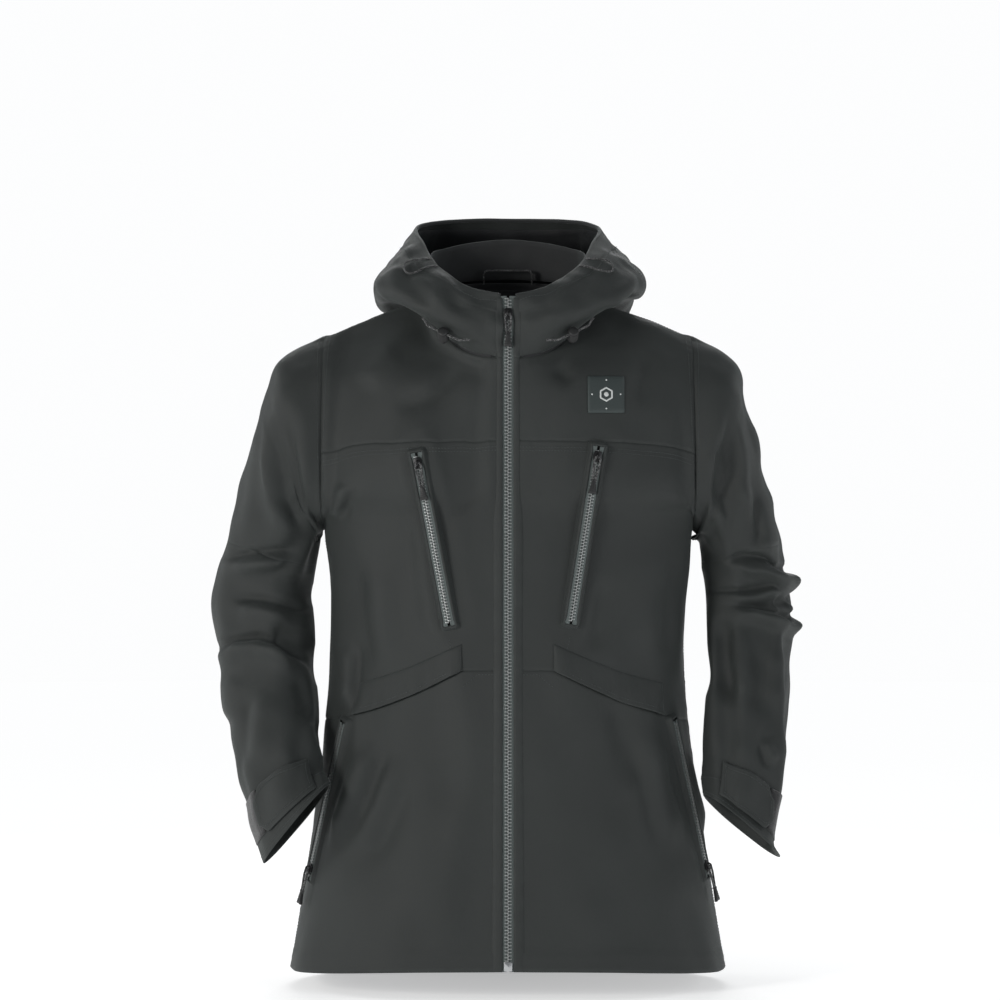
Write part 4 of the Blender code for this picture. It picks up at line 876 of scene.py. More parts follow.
def onto_neck(hood, sheets):
    """The hood with its foot drawn onto the fronts' and the back's neck edges."""
    fronts = [sheets[side].at(np.linspace(0, 3.6, 60), TOP) for side in ("left", "right")]
    back = sheets["back"].at(np.linspace(1.4, 8.6, 120), TOP)
    edge = np.concatenate([fronts[0], fronts[1], back]) + np.array([0, 0, 0.0006])
    gaps = np.linalg.norm(hood[0][:, None] - edge[None], axis=-1)
    order = np.argsort(gaps, axis=1)[:, :2]
    first, second = edge[order[:, 0]], edge[order[:, 1]]
    step = second - first
    t = np.clip(((hood[0] - first) * step).sum(-1) / np.maximum((step**2).sum(-1), 1e-12), 0, 1)
    miss = first + t[:, None] * step - hood[0]
    miss[[0, -1], 0] = 0
    return hood + miss * (smooth(1.6, 0.0, HOOD_ROW_LINES)[:, None, None])


def sleeve_front(points):
    """How far each sleeve point lies in front of its ring's centre."""
    return points.mean(axis=1, keepdims=True)[..., 1] - points[..., 1]


def loose_front(points, us, vs):
    """1 where the front cloth may fold, 0 along its edges, zips and badge."""
    free = smooth(0.05, 0.7, us)[None, :] * smooth(5.0, 4.4, us)[None, :]
    free = free * smooth(9.0, 8.3, vs)[:, None] * smooth(-0.4, 0.3, vs)[:, None]
    flat = points.reshape(-1, 3)
    held = np.zeros(len(flat))
    for start, end, reach in zip_lines():
        held = np.maximum(held, near_line(flat, start, end, reach))
    return free * (1 - held.reshape(free.shape))


# ---------------------------------------------------------------- where the zips and the badge are
def net_normals(net, u, v, outward):
    """Directions out of a coarse net."""
    return surface_normals(net, u, v, 0.02, outward)


def front_pattern(side):
    """The padded net of one side's front."""
    return padded_front() if side == "left" else mirrored(padded_front())


def frame_matrix(origin, along, outward):
    """Local axes of a zip: X across it, Y out of the fabric, Z up along it."""
    z = Vector(along).normalized()
    y = Vector(outward)
    y = (y - y.dot(z) * z).normalized()
    turn = Matrix((y.cross(z), y, z)).transposed().to_4x4()
    return Matrix.Translation(Vector(origin)) @ turn


def zip_frame(side, ends):
    """A straight pocket zip on the front pattern: the frame at its lower end, and its length."""
    net, outward = front_pattern(side), SIDES[side]
    (top_u, top_v), (low_u, low_v) = ends
    top, low = evaluate(net, top_u, top_v), evaluate(net, low_u, low_v)
    share = np.linspace(-0.04, 1.04, 30)
    u, v = low_u + (top_u - low_u) * share, low_v + (top_v - low_v) * share
    out = net_normals(net, u, v, outward).mean(axis=0)
    along = (top - low) / np.linalg.norm(top - low)
    u = u + np.array([[-0.16], [0.0], [0.16]])
    out -= out.dot(along) * along
    out /= np.linalg.norm(out)
    rise = ((evaluate(net, u, v) - low) @ out).max()
    return frame_matrix(low + out * rise, along, out), float(np.linalg.norm(top - low))


def zip_lines():
    """(start, end, reach) of the lines along which the cloth is held: pocket zips and badge."""
    found = []
    for side in SIDES:
        net = front_pattern(side)
        for ends in (CHEST_ZIP[side], HAND_ZIP[side]):
            found.append((evaluate(net, *ends[1]), evaluate(net, *ends[0]), ZIP_REACH))
    x, z = BADGE
    middle = np.array([x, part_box("chest_badge")[0].y, z])
    found.append((middle - np.array([0.004, 0, 0]), middle + np.array([0.004, 0, 0]), BADGE_REACH))
    return found


# ---------------------------------------------------------------- materials
class Finish:
    """A node material. add() makes a node, linking any socket value it is given."""

    def __init__(self, name):
        self.material = bpy.data.materials.new(name)
        self.material.use_nodes = True
        self.tree = self.material.node_tree
        self.shader = self.tree.nodes["Principled BSDF"]

    def add(self, kind, settings=None, **inputs):
        node = self.tree.nodes.new(f"ShaderNode{kind}")
        for key, value in (settings or {}).items():
            setattr(node, key, value)
        for key, value in inputs.items():
            self.put(node.inputs[int(key[1:])] if key[0] == "_" else node.inputs[key], value)
        return node

    def put(self, socket, value):
        """Links the socket to a value that is itself a socket, or sets it."""
        if isinstance(value, bpy.types.NodeSocket):
            self.tree.links.new(value, socket)
        else:
            socket.default_value = value

    def set(self, **inputs):
        """Sets the surface shader's inputs; an underscore stands for a space."""
        for key, value in inputs.items():
            self.put(self.shader.inputs[key.replace("_", " ")], value)

    def place(self, uv=False, scale=(1, 1, 1)):
        """Texture coordinates in metres: along the cloth, or the object's own."""
        coordinates = self.add("TexCoord").outputs["UV" if uv else "Object"]
        return self.add("Mapping", Vector=coordinates, Scale=scale).outputs[0]

    def noise(self, where, scale, detail=3.0, roughness=0.5):
        node = self.add("TexNoise", Vector=where, Scale=scale, Detail=detail, Roughness=roughness)
        return node.outputs["Fac"]

    def math(self, operation, *values):
        node = self.add("Math", {"operation": operation})
        for socket, value in zip(node.inputs, values):
            self.put(socket, value)
        return node.outputs[0]

    def ramp(self, value, low, high, to_low=0.0, to_high=1.0):
        names = ("Value", "From Min", "From Max", "To Min", "To Max")
        node = self.add("MapRange")
        for key, given in zip(names, (value, low, high, to_low, to_high)):
            self.put(node.inputs[key], given)
        return node.outputs[0]

    def mix(self, share, first, second):
        node = self.add("Mix", {"data_type": "RGBA"})
        self.put(node.inputs[0], share)
        self.put(node.inputs[6], first)
        self.put(node.inputs[7], second)
        return node.outputs[2]

    def bump(self, height, distance, strength=1.0, under=None):
        node = self.add("Bump", Height=height, Distance=distance, Strength=strength)
        if under is not None:
            self.put(node.inputs["Normal"], under)
        return node.outputs[0]


def shade(colour, factor):
    """The colour made lighter or darker, with full alpha."""
    return tuple(min(1.0, c * factor) for c in colour) + (1.0,)


WAVE_SCALE = 0.5  # at this scale a wave texture's bands are pi / 5 of its unit apart


def woven(finish, thread, ribs=False):
    """Height of a plain weave, threads pi / 5 of thread apart; ribs makes it a twill of diagonal ribs."""
    where = finish.place(uv=True, scale=(1 / thread, 1 / thread, 1))

    def bands(direction):
        settings = {"bands_direction": direction, "wave_type": "BANDS", "wave_profile": "SIN"}
        return finish.add("TexWave", settings, Vector=where, Scale=WAVE_SCALE).outputs["Fac"]

    return bands("DIAGONAL") if ribs else finish.math("MAXIMUM", bands("X"), bands("Y"))


def fabric(name, colour, thread=0.0009, roughness=0.62, sheen=0.25, weave_depth=0.00008,
           ribs=False, crinkle=0.0005):
    """Woven cloth: threads, small crinkles, drifting colour, and a painted highlight that makes convex fold
    ridges paler in patches.
    """
    f = Finish(name)
    where = f.place()
    drift = f.noise(where, 7.0, 2.0)
    fleck = f.noise(where, 900.0, 2.0)
    tone = f.math("ADD", f.ramp(drift, 0.3, 0.7, 0.0, 0.7), f.ramp(fleck, 0.35, 0.65, 0.0, 0.3))
    base = f.mix(tone, shade(colour, 0.86), shade(colour, 1.14))
    # Painted highlight: convex fold ridges (by pointiness) are lightened towards 1.9 times the colour, in
    # patches.
    painted_ridge_highlight = f.ramp(f.add("NewGeometry").outputs["Pointiness"], 0.512, 0.56, 0.0, 0.35)
    base = f.mix(f.math("MULTIPLY", painted_ridge_highlight, f.ramp(f.noise(where, 60.0), 0.35, 0.7)), base, shade(colour, 1.9))
    small = f.noise(where, 95.0, 4.0, 0.6)
    soft = f.noise(where, 24.0, 3.0)
    normal = f.bump(soft, crinkle * 3.2, 0.30)
    normal = f.bump(small, crinkle, 0.35, normal)
    normal = f.bump(woven(f, thread, ribs), weave_depth, 0.8, normal)
    worn = f.math("ADD", f.ramp(drift, 0.3, 0.7, -0.05, 0.05), roughness)
    f.set(Base_Color=base, Roughness=worn, Normal=normal, Sheen_Weight=sheen, Sheen_Roughness=0.45)
    f.set(Sheen_Tint=shade((0.55, 0.62, 0.60), 1.0), Specular_IOR_Level=0.32)
    return f.material


def ribbed_tape(name, colour, pitch=0.0011):
    """Zip tape: fine ribs across, pi / 5 of pitch apart, lighter and greyer than the cloth."""
    f = Finish(name)
    where = f.place()
    bands = {"bands_direction": "Z"}
    ribs = f.add("TexWave", bands, Vector=where, Scale=WAVE_SCALE / pitch, Distortion=0.4)
    knit = f.noise(where, 1400.0, 2.0)
    height = f.math("ADD", ribs.outputs["Fac"], f.math("MULTIPLY", knit, 0.6))
    base = f.mix(f.ramp(height, 0.2, 1.4), shade(colour, 0.72), shade(colour, 1.25))
    f.set(Base_Color=base, Roughness=0.78, Normal=f.bump(height, 0.00018, 0.8), Sheen_Weight=0.15)
    return f.material


def moulded(name, colour, roughness, metallic=0.0, grain=0.00006, fleck=0.12):
    """Moulded plastic or cast metal with fine grain, scuffs and worn edges."""
    f = Finish(name)
    where = f.place()
    grainy = f.noise(where, 2200.0, 2.0)
    scuff = f.ramp(f.noise(where, 240.0, 5.0, 0.7), 0.45, 0.7)
    edge = f.ramp(f.add("NewGeometry").outputs["Pointiness"], 0.53, 0.62, 0.0, 0.6)
    dark, light = shade(colour, 1.0 - fleck), shade(colour, 1.0 + fleck)
    base = f.mix(f.math("MULTIPLY", grainy, fleck * 2), dark, light)
    base = f.mix(f.math("MULTIPLY", edge, scuff), base, shade(colour, 2.6))
    rough = f.math("ADD", roughness, f.math("MULTIPLY", scuff, 0.12))
    f.set(Base_Color=base, Roughness=rough, Metallic=metallic, Normal=f.bump(grainy, grain, 0.6))
    return f.material


def flecked_cord(name, dark, light, amount=0.5):
    """Braided cord: dark yarns with pale flecks."""
    f = Finish(name)
    where = f.place()
    spots = f.add("TexVoronoi", Vector=where, Scale=1900.0, Randomness=1.0)
    fleck = f.ramp(spots.outputs["Color"], 1 - amount, 1 - amount + 0.06)
    fibre = f.noise(where, 3000.0, 2.0)
    base = f.mix(fleck, shade(dark, 1.0), f.mix(fibre, shade(light, 0.6), shade(light, 1.2)))
    f.set(Base_Color=base, Roughness=0.8, Normal=f.bump(fibre, 0.00012, 0.6), Sheen_Weight=0.2)
    return f.material


def fuzzy(name, colour, depth=0.0006):
    """Velour loops of a hook-and-loop patch."""
    f = Finish(name)
    where = f.place()
    loops = f.add("TexVoronoi", Vector=where, Scale=1300.0).outputs["Distance"]
    tufts = f.noise(where, 420.0, 4.0, 0.7)
    height = f.math("ADD", f.math("MULTIPLY", loops, 0.6), tufts)
    base = f.mix(f.ramp(height, 0.3, 1.1), shade(colour, 0.55), shade(colour, 1.9))
    f.set(Base_Color=base, Roughness=0.95, Normal=f.bump(height, depth, 0.9), Sheen_Weight=0.5)
    return f.material


def make_finishes():
    """Every material of the jacket, by name."""
    finishes = {
        "shell_fabric": (fabric, (0.0270, 0.0304, 0.0294), 0.0009, 0.62, 0.12),
        "stretch_fabric": (fabric, (0.026, 0.027, 0.028), 0.0012, 0.75, 0.35, 0.00014, True),
        "lining_fabric": (fabric, (0.011, 0.0115, 0.013), 0.0016, 0.55, 0.20, 0.00016, False, 0.0008),
        "grey_lining": (fabric, (0.085, 0.095, 0.097), 0.0012, 0.60, 0.25, 0.00012),
        "zip_tape": (ribbed_tape, (0.105, 0.125, 0.122)),
        "zip_teeth": (moulded, (0.34, 0.355, 0.35), 0.30, 0.70, 0.00004, 0.25),
        "dark_metal": (moulded, (0.030, 0.030, 0.031), 0.32, 0.85),
        "bright_metal": (moulded, (0.55, 0.56, 0.57), 0.25, 0.95),
        "moulded_grip": (moulded, (0.012, 0.0125, 0.013), 0.48, 0.0, 0.00012),
        "flecked_cord": (flecked_cord, (0.013, 0.013, 0.014), (0.24, 0.245, 0.245), 0.34),
        "hook_and_loop": (fuzzy, (0.014, 0.0145, 0.015)),
        "badge_rubber": (moulded, (0.034, 0.046, 0.045), 0.55, 0.0, 0.00010),
        "badge_mark": (moulded, (0.62, 0.64, 0.63), 0.50, 0.0, 0.00005, 0.05),
        "thread": (fabric, (0.040, 0.045, 0.045), 0.0005, 0.55, 0.4, 0.00005, True, 0.0001),
    }
    return {name: make(name, *values) for name, (make, *values) in finishes.items()}


# ---------------------------------------------------------------- meshes
FINISHES = make_finishes()
SLOTS = {entry["slot"] if "slot" in entry else entry.get("name") for entry in frame["record"]["materials"]}
SHELL_THICK = 0.0011
ROLL, ROLL_WIDTH = 0.0009, 0.0026  # a seam's edge dips by ROLL over ROLL_WIDTH
FINE = np.array([0.0008, 0.0018, 0.0032])  # extra lines next to a seam, metres from it
PANEL_ROW = 2.0  # the row along which a panel's columns are evenly spaced
BODY_HEM = (("low", 0.022),)


def finished(obj, finish, slot=None):
    """The object with its material; the record's slot that goes with it is worked out but not kept."""
    obj.data.materials.append(FINISHES[finish])
    slot or (finish if finish in SLOTS else "shell_fabric")
    return obj


def path_lengths(points, axis):
    """How far along its line each point lies, for lines that run along the axis."""
    steps = np.linalg.norm(np.diff(points, axis=axis), axis=-1)
    start = np.zeros_like(np.take(steps, [0], axis=axis))
    return np.concatenate([start, np.cumsum(steps, axis=axis)], axis=axis)


def rims(ids, wrap):
    """(rim, inside) pairs of point numbers: each edge of a grid, and the points one step in from it."""
    if wrap:
        return [(ids[0], ids[1]), (ids[-1], ids[-2])]
    inner = np.pad(ids[1:-1, 1:-1], 1, mode="edge")
    return [tuple(
        np.concatenate([grid[0], grid[1:, -1], grid[-1, -2::-1], grid[-2:0:-1, 0]]) for grid in (ids, inner)
    )]


def slab(name, outer, inner, finish, wrap=False, slot=None):
    """A closed sheet between two grids of points, with rounded edges.

    wrap joins the last column to the first.
    """
    ids = np.arange(outer.shape[0] * outer.shape[1]).reshape(outer.shape[:2])
    ring = looped(ids) if wrap else ids
    closed_outer = looped(outer) if wrap else outer
    uv = np.stack([path_lengths(closed_outer, 1), path_lengths(closed_outer, 0)], axis=-1).reshape(-1, 2)
    own = quads(np.arange(ring.size).reshape(ring.shape))
    faces = [quads(ring), quads(ring + ids.size)[:, ::-1]]
    uvs = [uv[own], uv[own][:, ::-1]]
    flat_outer, flat_inner = outer.reshape(-1, 3), inner.reshape(-1, 3)
    points = [flat_outer, flat_inner]
    total = 2 * ids.size
    half = np.linalg.norm(outer - inner, axis=-1).mean() * 0.5
    for rim, inside in rims(ids, wrap):
        away = unit(flat_outer[rim] - flat_outer[inside])
        points.append((flat_outer[rim] + flat_inner[rim]) / 2 + away * half)
        bulge = np.arange(total, total + len(rim))
        total += len(rim)
        edge_uv = uv.reshape(*ring.shape, 2)[:, : ids.shape[1]].reshape(-1, 2)[rim]
        for low, high in ((rim, bulge), (bulge, rim + ids.size)):
            faces.append(np.stack([low, high, np.roll(high, -1), np.roll(low, -1)], axis=-1))
            uvs.append(np.stack([edge_uv] * 4, axis=1))
    obj = mesh_object(name, np.concatenate(points), np.concatenate(faces), np.concatenate(uvs))
    face_outwards(obj)
    return finished(obj, finish, slot)


def face_outwards(obj, weld_gap=0.0):
    """Turns every face of a closed mesh to the outside. weld_gap joins points this close first."""
    bm = bmesh.new()
    bm.from_mesh(obj.data)
    if weld_gap:
        bmesh.ops.remove_doubles(bm, verts=bm.verts, dist=weld_gap)
        bmesh.ops.dissolve_degenerate(bm, edges=bm.edges, dist=weld_gap)
    bmesh.ops.recalc_face_normals(bm, faces=bm.faces)
    bm.to_mesh(obj.data)
    bm.free()


def fine_steps(length, spacing, low=False, high=False):
    """Shares from 0 to 1 about this spacing apart, with extra lines next to the ends that are seams."""
    even = np.linspace(0, 1, max(3, int(round(length / spacing)) + 1))
    extra = [FINE / length if low else [], 1 - FINE / length if high else []]
    return np.unique(np.round(np.concatenate([even, *extra]), 7))


def seam_roll(points, seams, depth=ROLL):
    """How far the cloth dips at its seams: a rounded edge, and small puckers along it."""
    down = np.zeros(points.shape[:2])
    along_u, along_v = path_lengths(points, 1), path_lengths(points, 0)
    gaps = {
        "left": (along_u, along_v),
        "right": (along_u[:, -1:] - along_u, along_v),
        "low": (along_v, along_u),
        "high": (along_v[-1:] - along_v, along_u),
    }
    for number, seam in enumerate(seams):
        gap, run = gaps[seam]
        down = np.maximum(down, depth * (1 - smooth(0, ROLL_WIDTH, gap)))
        beat = np.sin(run * 350 + number) * np.sin(run * 130 + 2 * number) + 0.6 * np.sin(run * 610)
        down = down - 0.00035 * beat * np.exp(-(((gap - 0.004) / 0.006) ** 2))
    from_pit = np.linalg.norm(np.abs(points) - ARMPIT_PLACE, axis=-1)
    return down * smooth(0.025, 0.055, from_pit)


def cloth_panel(name, sheet, low, high, columns, finish="shell_fabric", seams=(), lift=0.0,
                thick=SHELL_THICK, spacing=0.0048, bands=(), wrap=False):
    """A panel of a sheet between the rows low and high, which may differ from column to column.

    bands are (edge, width) hems, a little raised.
    """
    low, high = np.broadcast_to(low, columns.shape), np.broadcast_to(high, columns.shape)
    middle = len(columns) // 2
    line = sheet.at(columns[middle], np.linspace(low[middle], high[middle], 60))
    length = path_lengths(line, 0)[-1]
    share = fine_steps(length, spacing, "low" in seams, "high" in seams)
    v = low + (high - low) * share[:, None]
    u = np.broadcast_to(columns, v.shape)
    points = sheet.at(u, v)
    height = lift - seam_roll(points, seams)
    rise = path_lengths(points, 0)
    for edge, width in bands:
        gap = rise if edge == "low" else rise[-1:] - rise
        height = height + 0.0007 * (1 - smooth(width - 0.0010, width + 0.0008, gap))
    outer = sheet.at(u, v, height)
    inner = sheet.at(u, v, height - thick)
    return slab(name, outer, inner, finish, wrap)


def merged(name, pieces):
    """One object from several; its material is the first's."""
    bm = bmesh.new()
    for piece in pieces:
        bm.from_mesh(piece.data)
    bm.to_mesh(pieces[0].data)
    bm.free()
    for piece in pieces[1:]:
        removed(piece)
    pieces[0].name = name
    pieces[0].data.name = name
    return pieces[0]


def column_lines(sheet, start, end, row, spacing=0.0048, left=False, right=False):
    """Columns from start to end, evenly spaced along one of the sheet's rows, with extra ones at seams."""
    u = np.linspace(start, end, 200)
    run = path_lengths(sheet.at(u, row), 0)
    return np.interp(fine_steps(run[-1], spacing, left, right) * run[-1], run, u)


# ---------------------------------------------------------------- cords, threads and turned parts
def swept(name, path, outline, finish, normals=None, closed=False):
    """A tube of any section along a path. outline is a list of (sideways, outwards) in metres."""
    path = np.asarray(path, float)
    if closed:
        tangents = unit(np.roll(path, -1, axis=0) - np.roll(path, 1, axis=0))
    else:
        tangents = unit(np.gradient(path, axis=0))
    if normals is None:
        guide = Vector(tangents[0]).orthogonal().normalized()
        normals = []
        for tangent in tangents:
            axis = Vector(tangent)
            guide = (guide - guide.dot(axis) * axis).normalized()
            normals.append(tuple(guide))
    normals = np.asarray(normals, float)
    normals = unit(normals - (normals * tangents).sum(-1, keepdims=True) * tangents)
    sideways = np.cross(tangents, normals)
    outline = np.asarray(outline, float)
    if outline.ndim == 2:
        outline = np.broadcast_to(outline, (len(path),) + outline.shape)
    rings = path[:, None] + outline[..., :1] * sideways[:, None] + outline[..., 1:] * normals[:, None]
    obj = mesh_object(name, rings.reshape(-1, 3), tube_faces(rings, closed))
    face_outwards(obj)
    return finished(obj, finish)


def tube_faces(rings, closed):
    """The faces of a tube of rings, which either ends in caps or closes on itself."""
    ids = np.arange(rings.shape[0] * rings.shape[1]).reshape(rings.shape[:2])
    around = looped(ids)
    if closed:
        return quads(np.concatenate([around, around[:1]])).tolist()
    return quads(around).tolist() + [ids[0].tolist()[::-1], ids[-1].tolist()]


def even_turns(count):
    """Angles of a full turn, this many and evenly spaced."""
    return 2 * math.pi * np.arange(count) / count


def circle(radius, sides, flat=1.0):
    """Points round a circle, or an ellipse flat times as high as wide."""
    turns = even_turns(sides)
    return np.stack([radius * np.cos(turns), radius * flat * np.sin(turns)], axis=-1)


def braided(name, path, radius):
    """A braided cord: its surface rises and falls along two sets of helices."""
    strands, pitch = 8, 0.0042
    path = resampled(path, 0.00055)
    turns = even_turns(14)
    phase = 2 * math.pi * path_lengths(path, 0)[:, None] / pitch
    helices = [np.abs(np.sin(turns * strands / 2 + sign * phase)) for sign in (1, -1)]
    rings = radius * (0.90 + 0.16 * helices[0] * helices[1])
    outline = np.stack([rings * np.cos(turns), rings * np.sin(turns)], axis=-1)
    return swept(name, path, outline, "flecked_cord")


def resampled(path, spacing):
    """The path's points, evenly spaced."""
    path = np.asarray(path, float)
    run = path_lengths(path, 0)
    count = max(3, int(run[-1] / spacing))
    return along_path(np.linspace(0, run[-1], count), run, path)


def curved(path, count):
    """A smooth curve through the path's points."""
    return evaluate(padded(path[None].repeat(2, axis=0)), np.linspace(0, len(path) - 1, count), 0.0)


STITCH, STITCH_GAP, THREAD = 0.0024, 0.0011, 0.00028  # length, gap and the thread's half width
STITCH_SIDES = 5


def stitches(name, runs):
    """Rows of stitches in one object. Each run is (points, normals) along the cloth."""
    turns = even_turns(STITCH_SIDES)
    shares = np.array([0.0, 0.12, 0.5, 0.88, 1.0])  # a stitch's rings, along it
    lifts = np.array([-1.2, 0.2, 0.55, 0.2, -1.2]) * THREAD
    widths = np.array([0.55, 1.0, 1.15, 1.0, 0.55]) * THREAD
    points, faces, total = [], [], 0
    for path, normals in runs:
        run = path_lengths(path, 0)
        starts = np.arange(0.0005, run[-1] - STITCH, STITCH + STITCH_GAP)
        wanted = starts[:, None] + shares * STITCH
        at = along_path(wanted, run, path)
        out = unit(along_path(wanted, run, normals))
        along = unit(at[:, -1:] - at[:, :1])
        aside = np.cross(np.broadcast_to(along, out.shape), out)
        centre = at + out * lifts[:, None]
        ring = centre[:, :, None] + widths[:, None, None] * (
            np.cos(turns)[:, None] * aside[:, :, None] + np.sin(turns)[:, None] * out[:, :, None]
        )
        ids = total + np.arange(ring.size // 3).reshape(ring.shape[:3])
        around = np.concatenate([ids, ids[:, :, :1]], axis=2)
        faces += quads(around).tolist() + ids[:, 0, ::-1].tolist() + ids[:, -1].tolist()
        points.append(ring.reshape(-1, 3))
        total += ids.size
    obj = mesh_object(name, np.concatenate(points), faces)
    face_outwards(obj)
    return finished(obj, "thread")


def sheet_run(sheet, u, v, lift=0.0):
    """A stitch run on a sheet, through the given columns and rows."""
    u, v = np.broadcast_arrays(np.asarray(u, float), np.asarray(v, float))
    fine = np.linspace(0, 1, max(len(u) * 4, 160))
    place = np.linspace(0, 1, len(u))
    u, v = np.interp(fine, place, u), np.interp(fine, place, v)
    return sheet.at(u, v, np.full(u.shape, lift + 1e-6)), sheet.normal(u, v)


def turned(name, profile, finish, sides=24, ring=False):
    """A body turned about its own Z axis from (radius, z) points; ring closes the profile on itself."""
    profile = np.asarray(profile, float)
    turns = even_turns(sides)
    heights = np.broadcast_to(profile[:, 1:], (len(profile), sides))
    rings = np.stack([profile[:, :1] * np.cos(turns), profile[:, :1] * np.sin(turns), heights], axis=-1)
    obj = mesh_object(name, rings.reshape(-1, 3), tube_faces(rings, ring))
    face_outwards(obj, weld_gap=1e-6)
    return finished(obj, finish)


def plate(name, outline, low, high, finish, bevel=0.0003):
    """A flat piece with an outline of (x, z), from low to high along local Y, with rounded edges."""
    outline = np.asarray(outline, float)
    bm = bmesh.new()
    first = [bm.verts.new((x, low, z)) for x, z in outline]
    second = [bm.verts.new((x, high, z)) for x, z in outline]
    bm.faces.new(first)
    bm.faces.new(second[::-1])
    for k in range(len(outline)):
        n = (k + 1) % len(outline)
        bm.faces.new((first[k], second[k], second[n], first[n]))
    bmesh.ops.recalc_face_normals(bm, faces=bm.faces)
    sharp = [e for e in bm.edges if len(e.link_faces) == 2 and e.calc_face_angle() > 0.6]
    bmesh.ops.bevel(bm, geom=sharp, offset=bevel, segments=2, profile=0.5, affect="EDGES")
    mesh = bpy.data.meshes.new(name)
    bm.to_mesh(mesh)
    bm.free()
    mesh.polygons.foreach_set("use_smooth", [True] * len(mesh.polygons))
    mesh.set_sharp_from_angle(angle=math.radians(40))
    return finished(in_scene(name, mesh), finish)


def rounded_outline(half_x, half_z, radius, centre=(0.0, 0.0), steps=5):
    """The (x, z) points of a rectangle with rounded corners."""
    points = []
    for k, (sx, sz) in enumerate(((1, 1), (-1, 1), (-1, -1), (1, -1))):
        for turn in np.linspace(0, math.pi / 2, steps):
            angle = turn + k * math.pi / 2
            points.append((centre[0] + sx * (half_x - radius) + radius * math.cos(angle),
                           centre[1] + sz * (half_z - radius) + radius * math.sin(angle)))
    return points


# ---------------------------------------------------------------- panels of the shell
SHEETS = make_sheets()


def flap_line(u):
    """The row of the seam under the chest panel, which the storm flap follows."""
    reach = np.maximum(0.0, np.asarray(u) - FLAP_COLUMNS[0])
    return FLAP_LEVEL - FLAP_DROP * (1 - np.exp(-reach / FLAP_EASE))


def give(obj, body, *nodes):
    """obj rides on body and stands for these CAD nodes."""
    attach(obj, body)
    if nodes:
        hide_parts(*nodes)
    return obj


def front_shell(side):
    """The three panels of one front."""
    sheet = SHEETS[side]
    columns = column_lines(sheet, 0, SIDE, PANEL_ROW, right=True)
    seam = flap_line(columns)
    for name, node, low, high, seams, bands in (
        ("lower_front", "lower_panel", 0, seam, ("high", "right"), BODY_HEM),
        ("chest_front", "chest_panel", seam, YOKE, ("low", "high", "right"), ()),
        ("shoulder_front", "front_yoke", YOKE, TOP, ("low", "high", "right"), ()),
    ):
        panel = cloth_panel(f"{side}_{name}", sheet, low, high, columns, seams=seams, bands=bands)
        give(panel, "torso", f"{side}_{node}")


def back_shell():
    """The two panels of the back."""
    sheet, sides = SHEETS["back"], ("left", "right")
    columns = column_lines(sheet, 0, 2 * SIDE, PANEL_ROW, left=True, right=True)
    low = cloth_panel("back_body", sheet, 0, YOKE, columns, seams=("high", *sides), bands=BODY_HEM)
    high = cloth_panel("back_shoulder", sheet, YOKE, TOP, columns, seams=("low", "high", *sides))
    give(low, "torso", "back_panel")
    give(high, "torso", "back_yoke")


def bend_shoulder(obj, side):
    """Only bakes the object's transform into its mesh; the cloth does not turn with the arm."""
    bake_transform(obj)


def bend_elbow(obj, side):
    """Only bakes the object's transform into its mesh; the cloth does not turn with the forearm."""
    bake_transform(obj)


SLEEVE_SPLIT = 4


def sleeve_shell(side):
    """Both parts of a sleeve, and their linings."""
    sheet, columns = SHEETS[f"{side}_sleeve"], np.arange(0, ROUND, ROUND / 100)
    shell = {"wrap": True, "spacing": 0.0038}
    upper = cloth_panel(f"{side}_sleeve_upper", sheet, 0, SLEEVE_SPLIT, columns, seams=("low",), **shell)
    lower = cloth_panel(f"{side}_sleeve_lower", sheet, SLEEVE_SPLIT, CUFF, columns,
                        bands=(("high", 0.024),), **shell)
    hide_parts(f"{side}_upper_sleeve")
    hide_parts(f"{side}_forearm_sleeve")
    bend_shoulder(upper, side)
    bend_elbow(lower, side)
    sheet, columns = SHEETS[f"{side}_sleeve_under"], np.arange(0, ROUND, ROUND / 60)
    for part, low, high, bend in (
        ("upper", 3.3, SLEEVE_SPLIT, bend_shoulder),
        ("lower", SLEEVE_SPLIT, CUFF - 0.35, bend_elbow),
    ):
        lining = cloth_panel(f"{side}_sleeve_lining_{part}", sheet, low, high, columns, "lining_fabric",
                             lift=-0.005, thick=0.0008, spacing=0.009, wrap=True)
        bend(lining, side)


def linings():
    """The body's lining, inside both fronts and the back."""
    pieces = []
    for name, first, last in (("right", 0.28, SIDE), ("left", 0.28, SIDE), ("back", 0, 2 * SIDE)):
        sheet = SHEETS[f"{name}_under"]
        columns = column_lines(sheet, first, last, PANEL_ROW, 0.009)
        pieces.append(cloth_panel(f"{name}_lining", sheet, 0.35, TOP - 0.25, columns, "lining_fabric",
                                  lift=-0.0068, thick=0.0009, spacing=0.009))
    give(merged("inner_lining", pieces), "torso", "body_lining")


def pocket_bags():
    """The bags of the chest and hand pockets, close behind the shell."""
    places = {"chest_pocket_bag": ((0.6, 2.9), (2.9, 5.9)), "hand_pocket_bag": ((1.4, 4.3), (0.5, 2.1))}
    for side in SIDES:
        for part, (columns, rows) in places.items():
            sheet = SHEETS[f"{side}_under"]
            u = column_lines(sheet, *columns, PANEL_ROW, 0.008)
            bag = cloth_panel(f"{side}_{part}_cloth", sheet, *rows, u, "lining_fabric",
                              lift=-0.0032, thick=0.0008, spacing=0.008)
            give(bag, "torso", f"{side}_{part}")


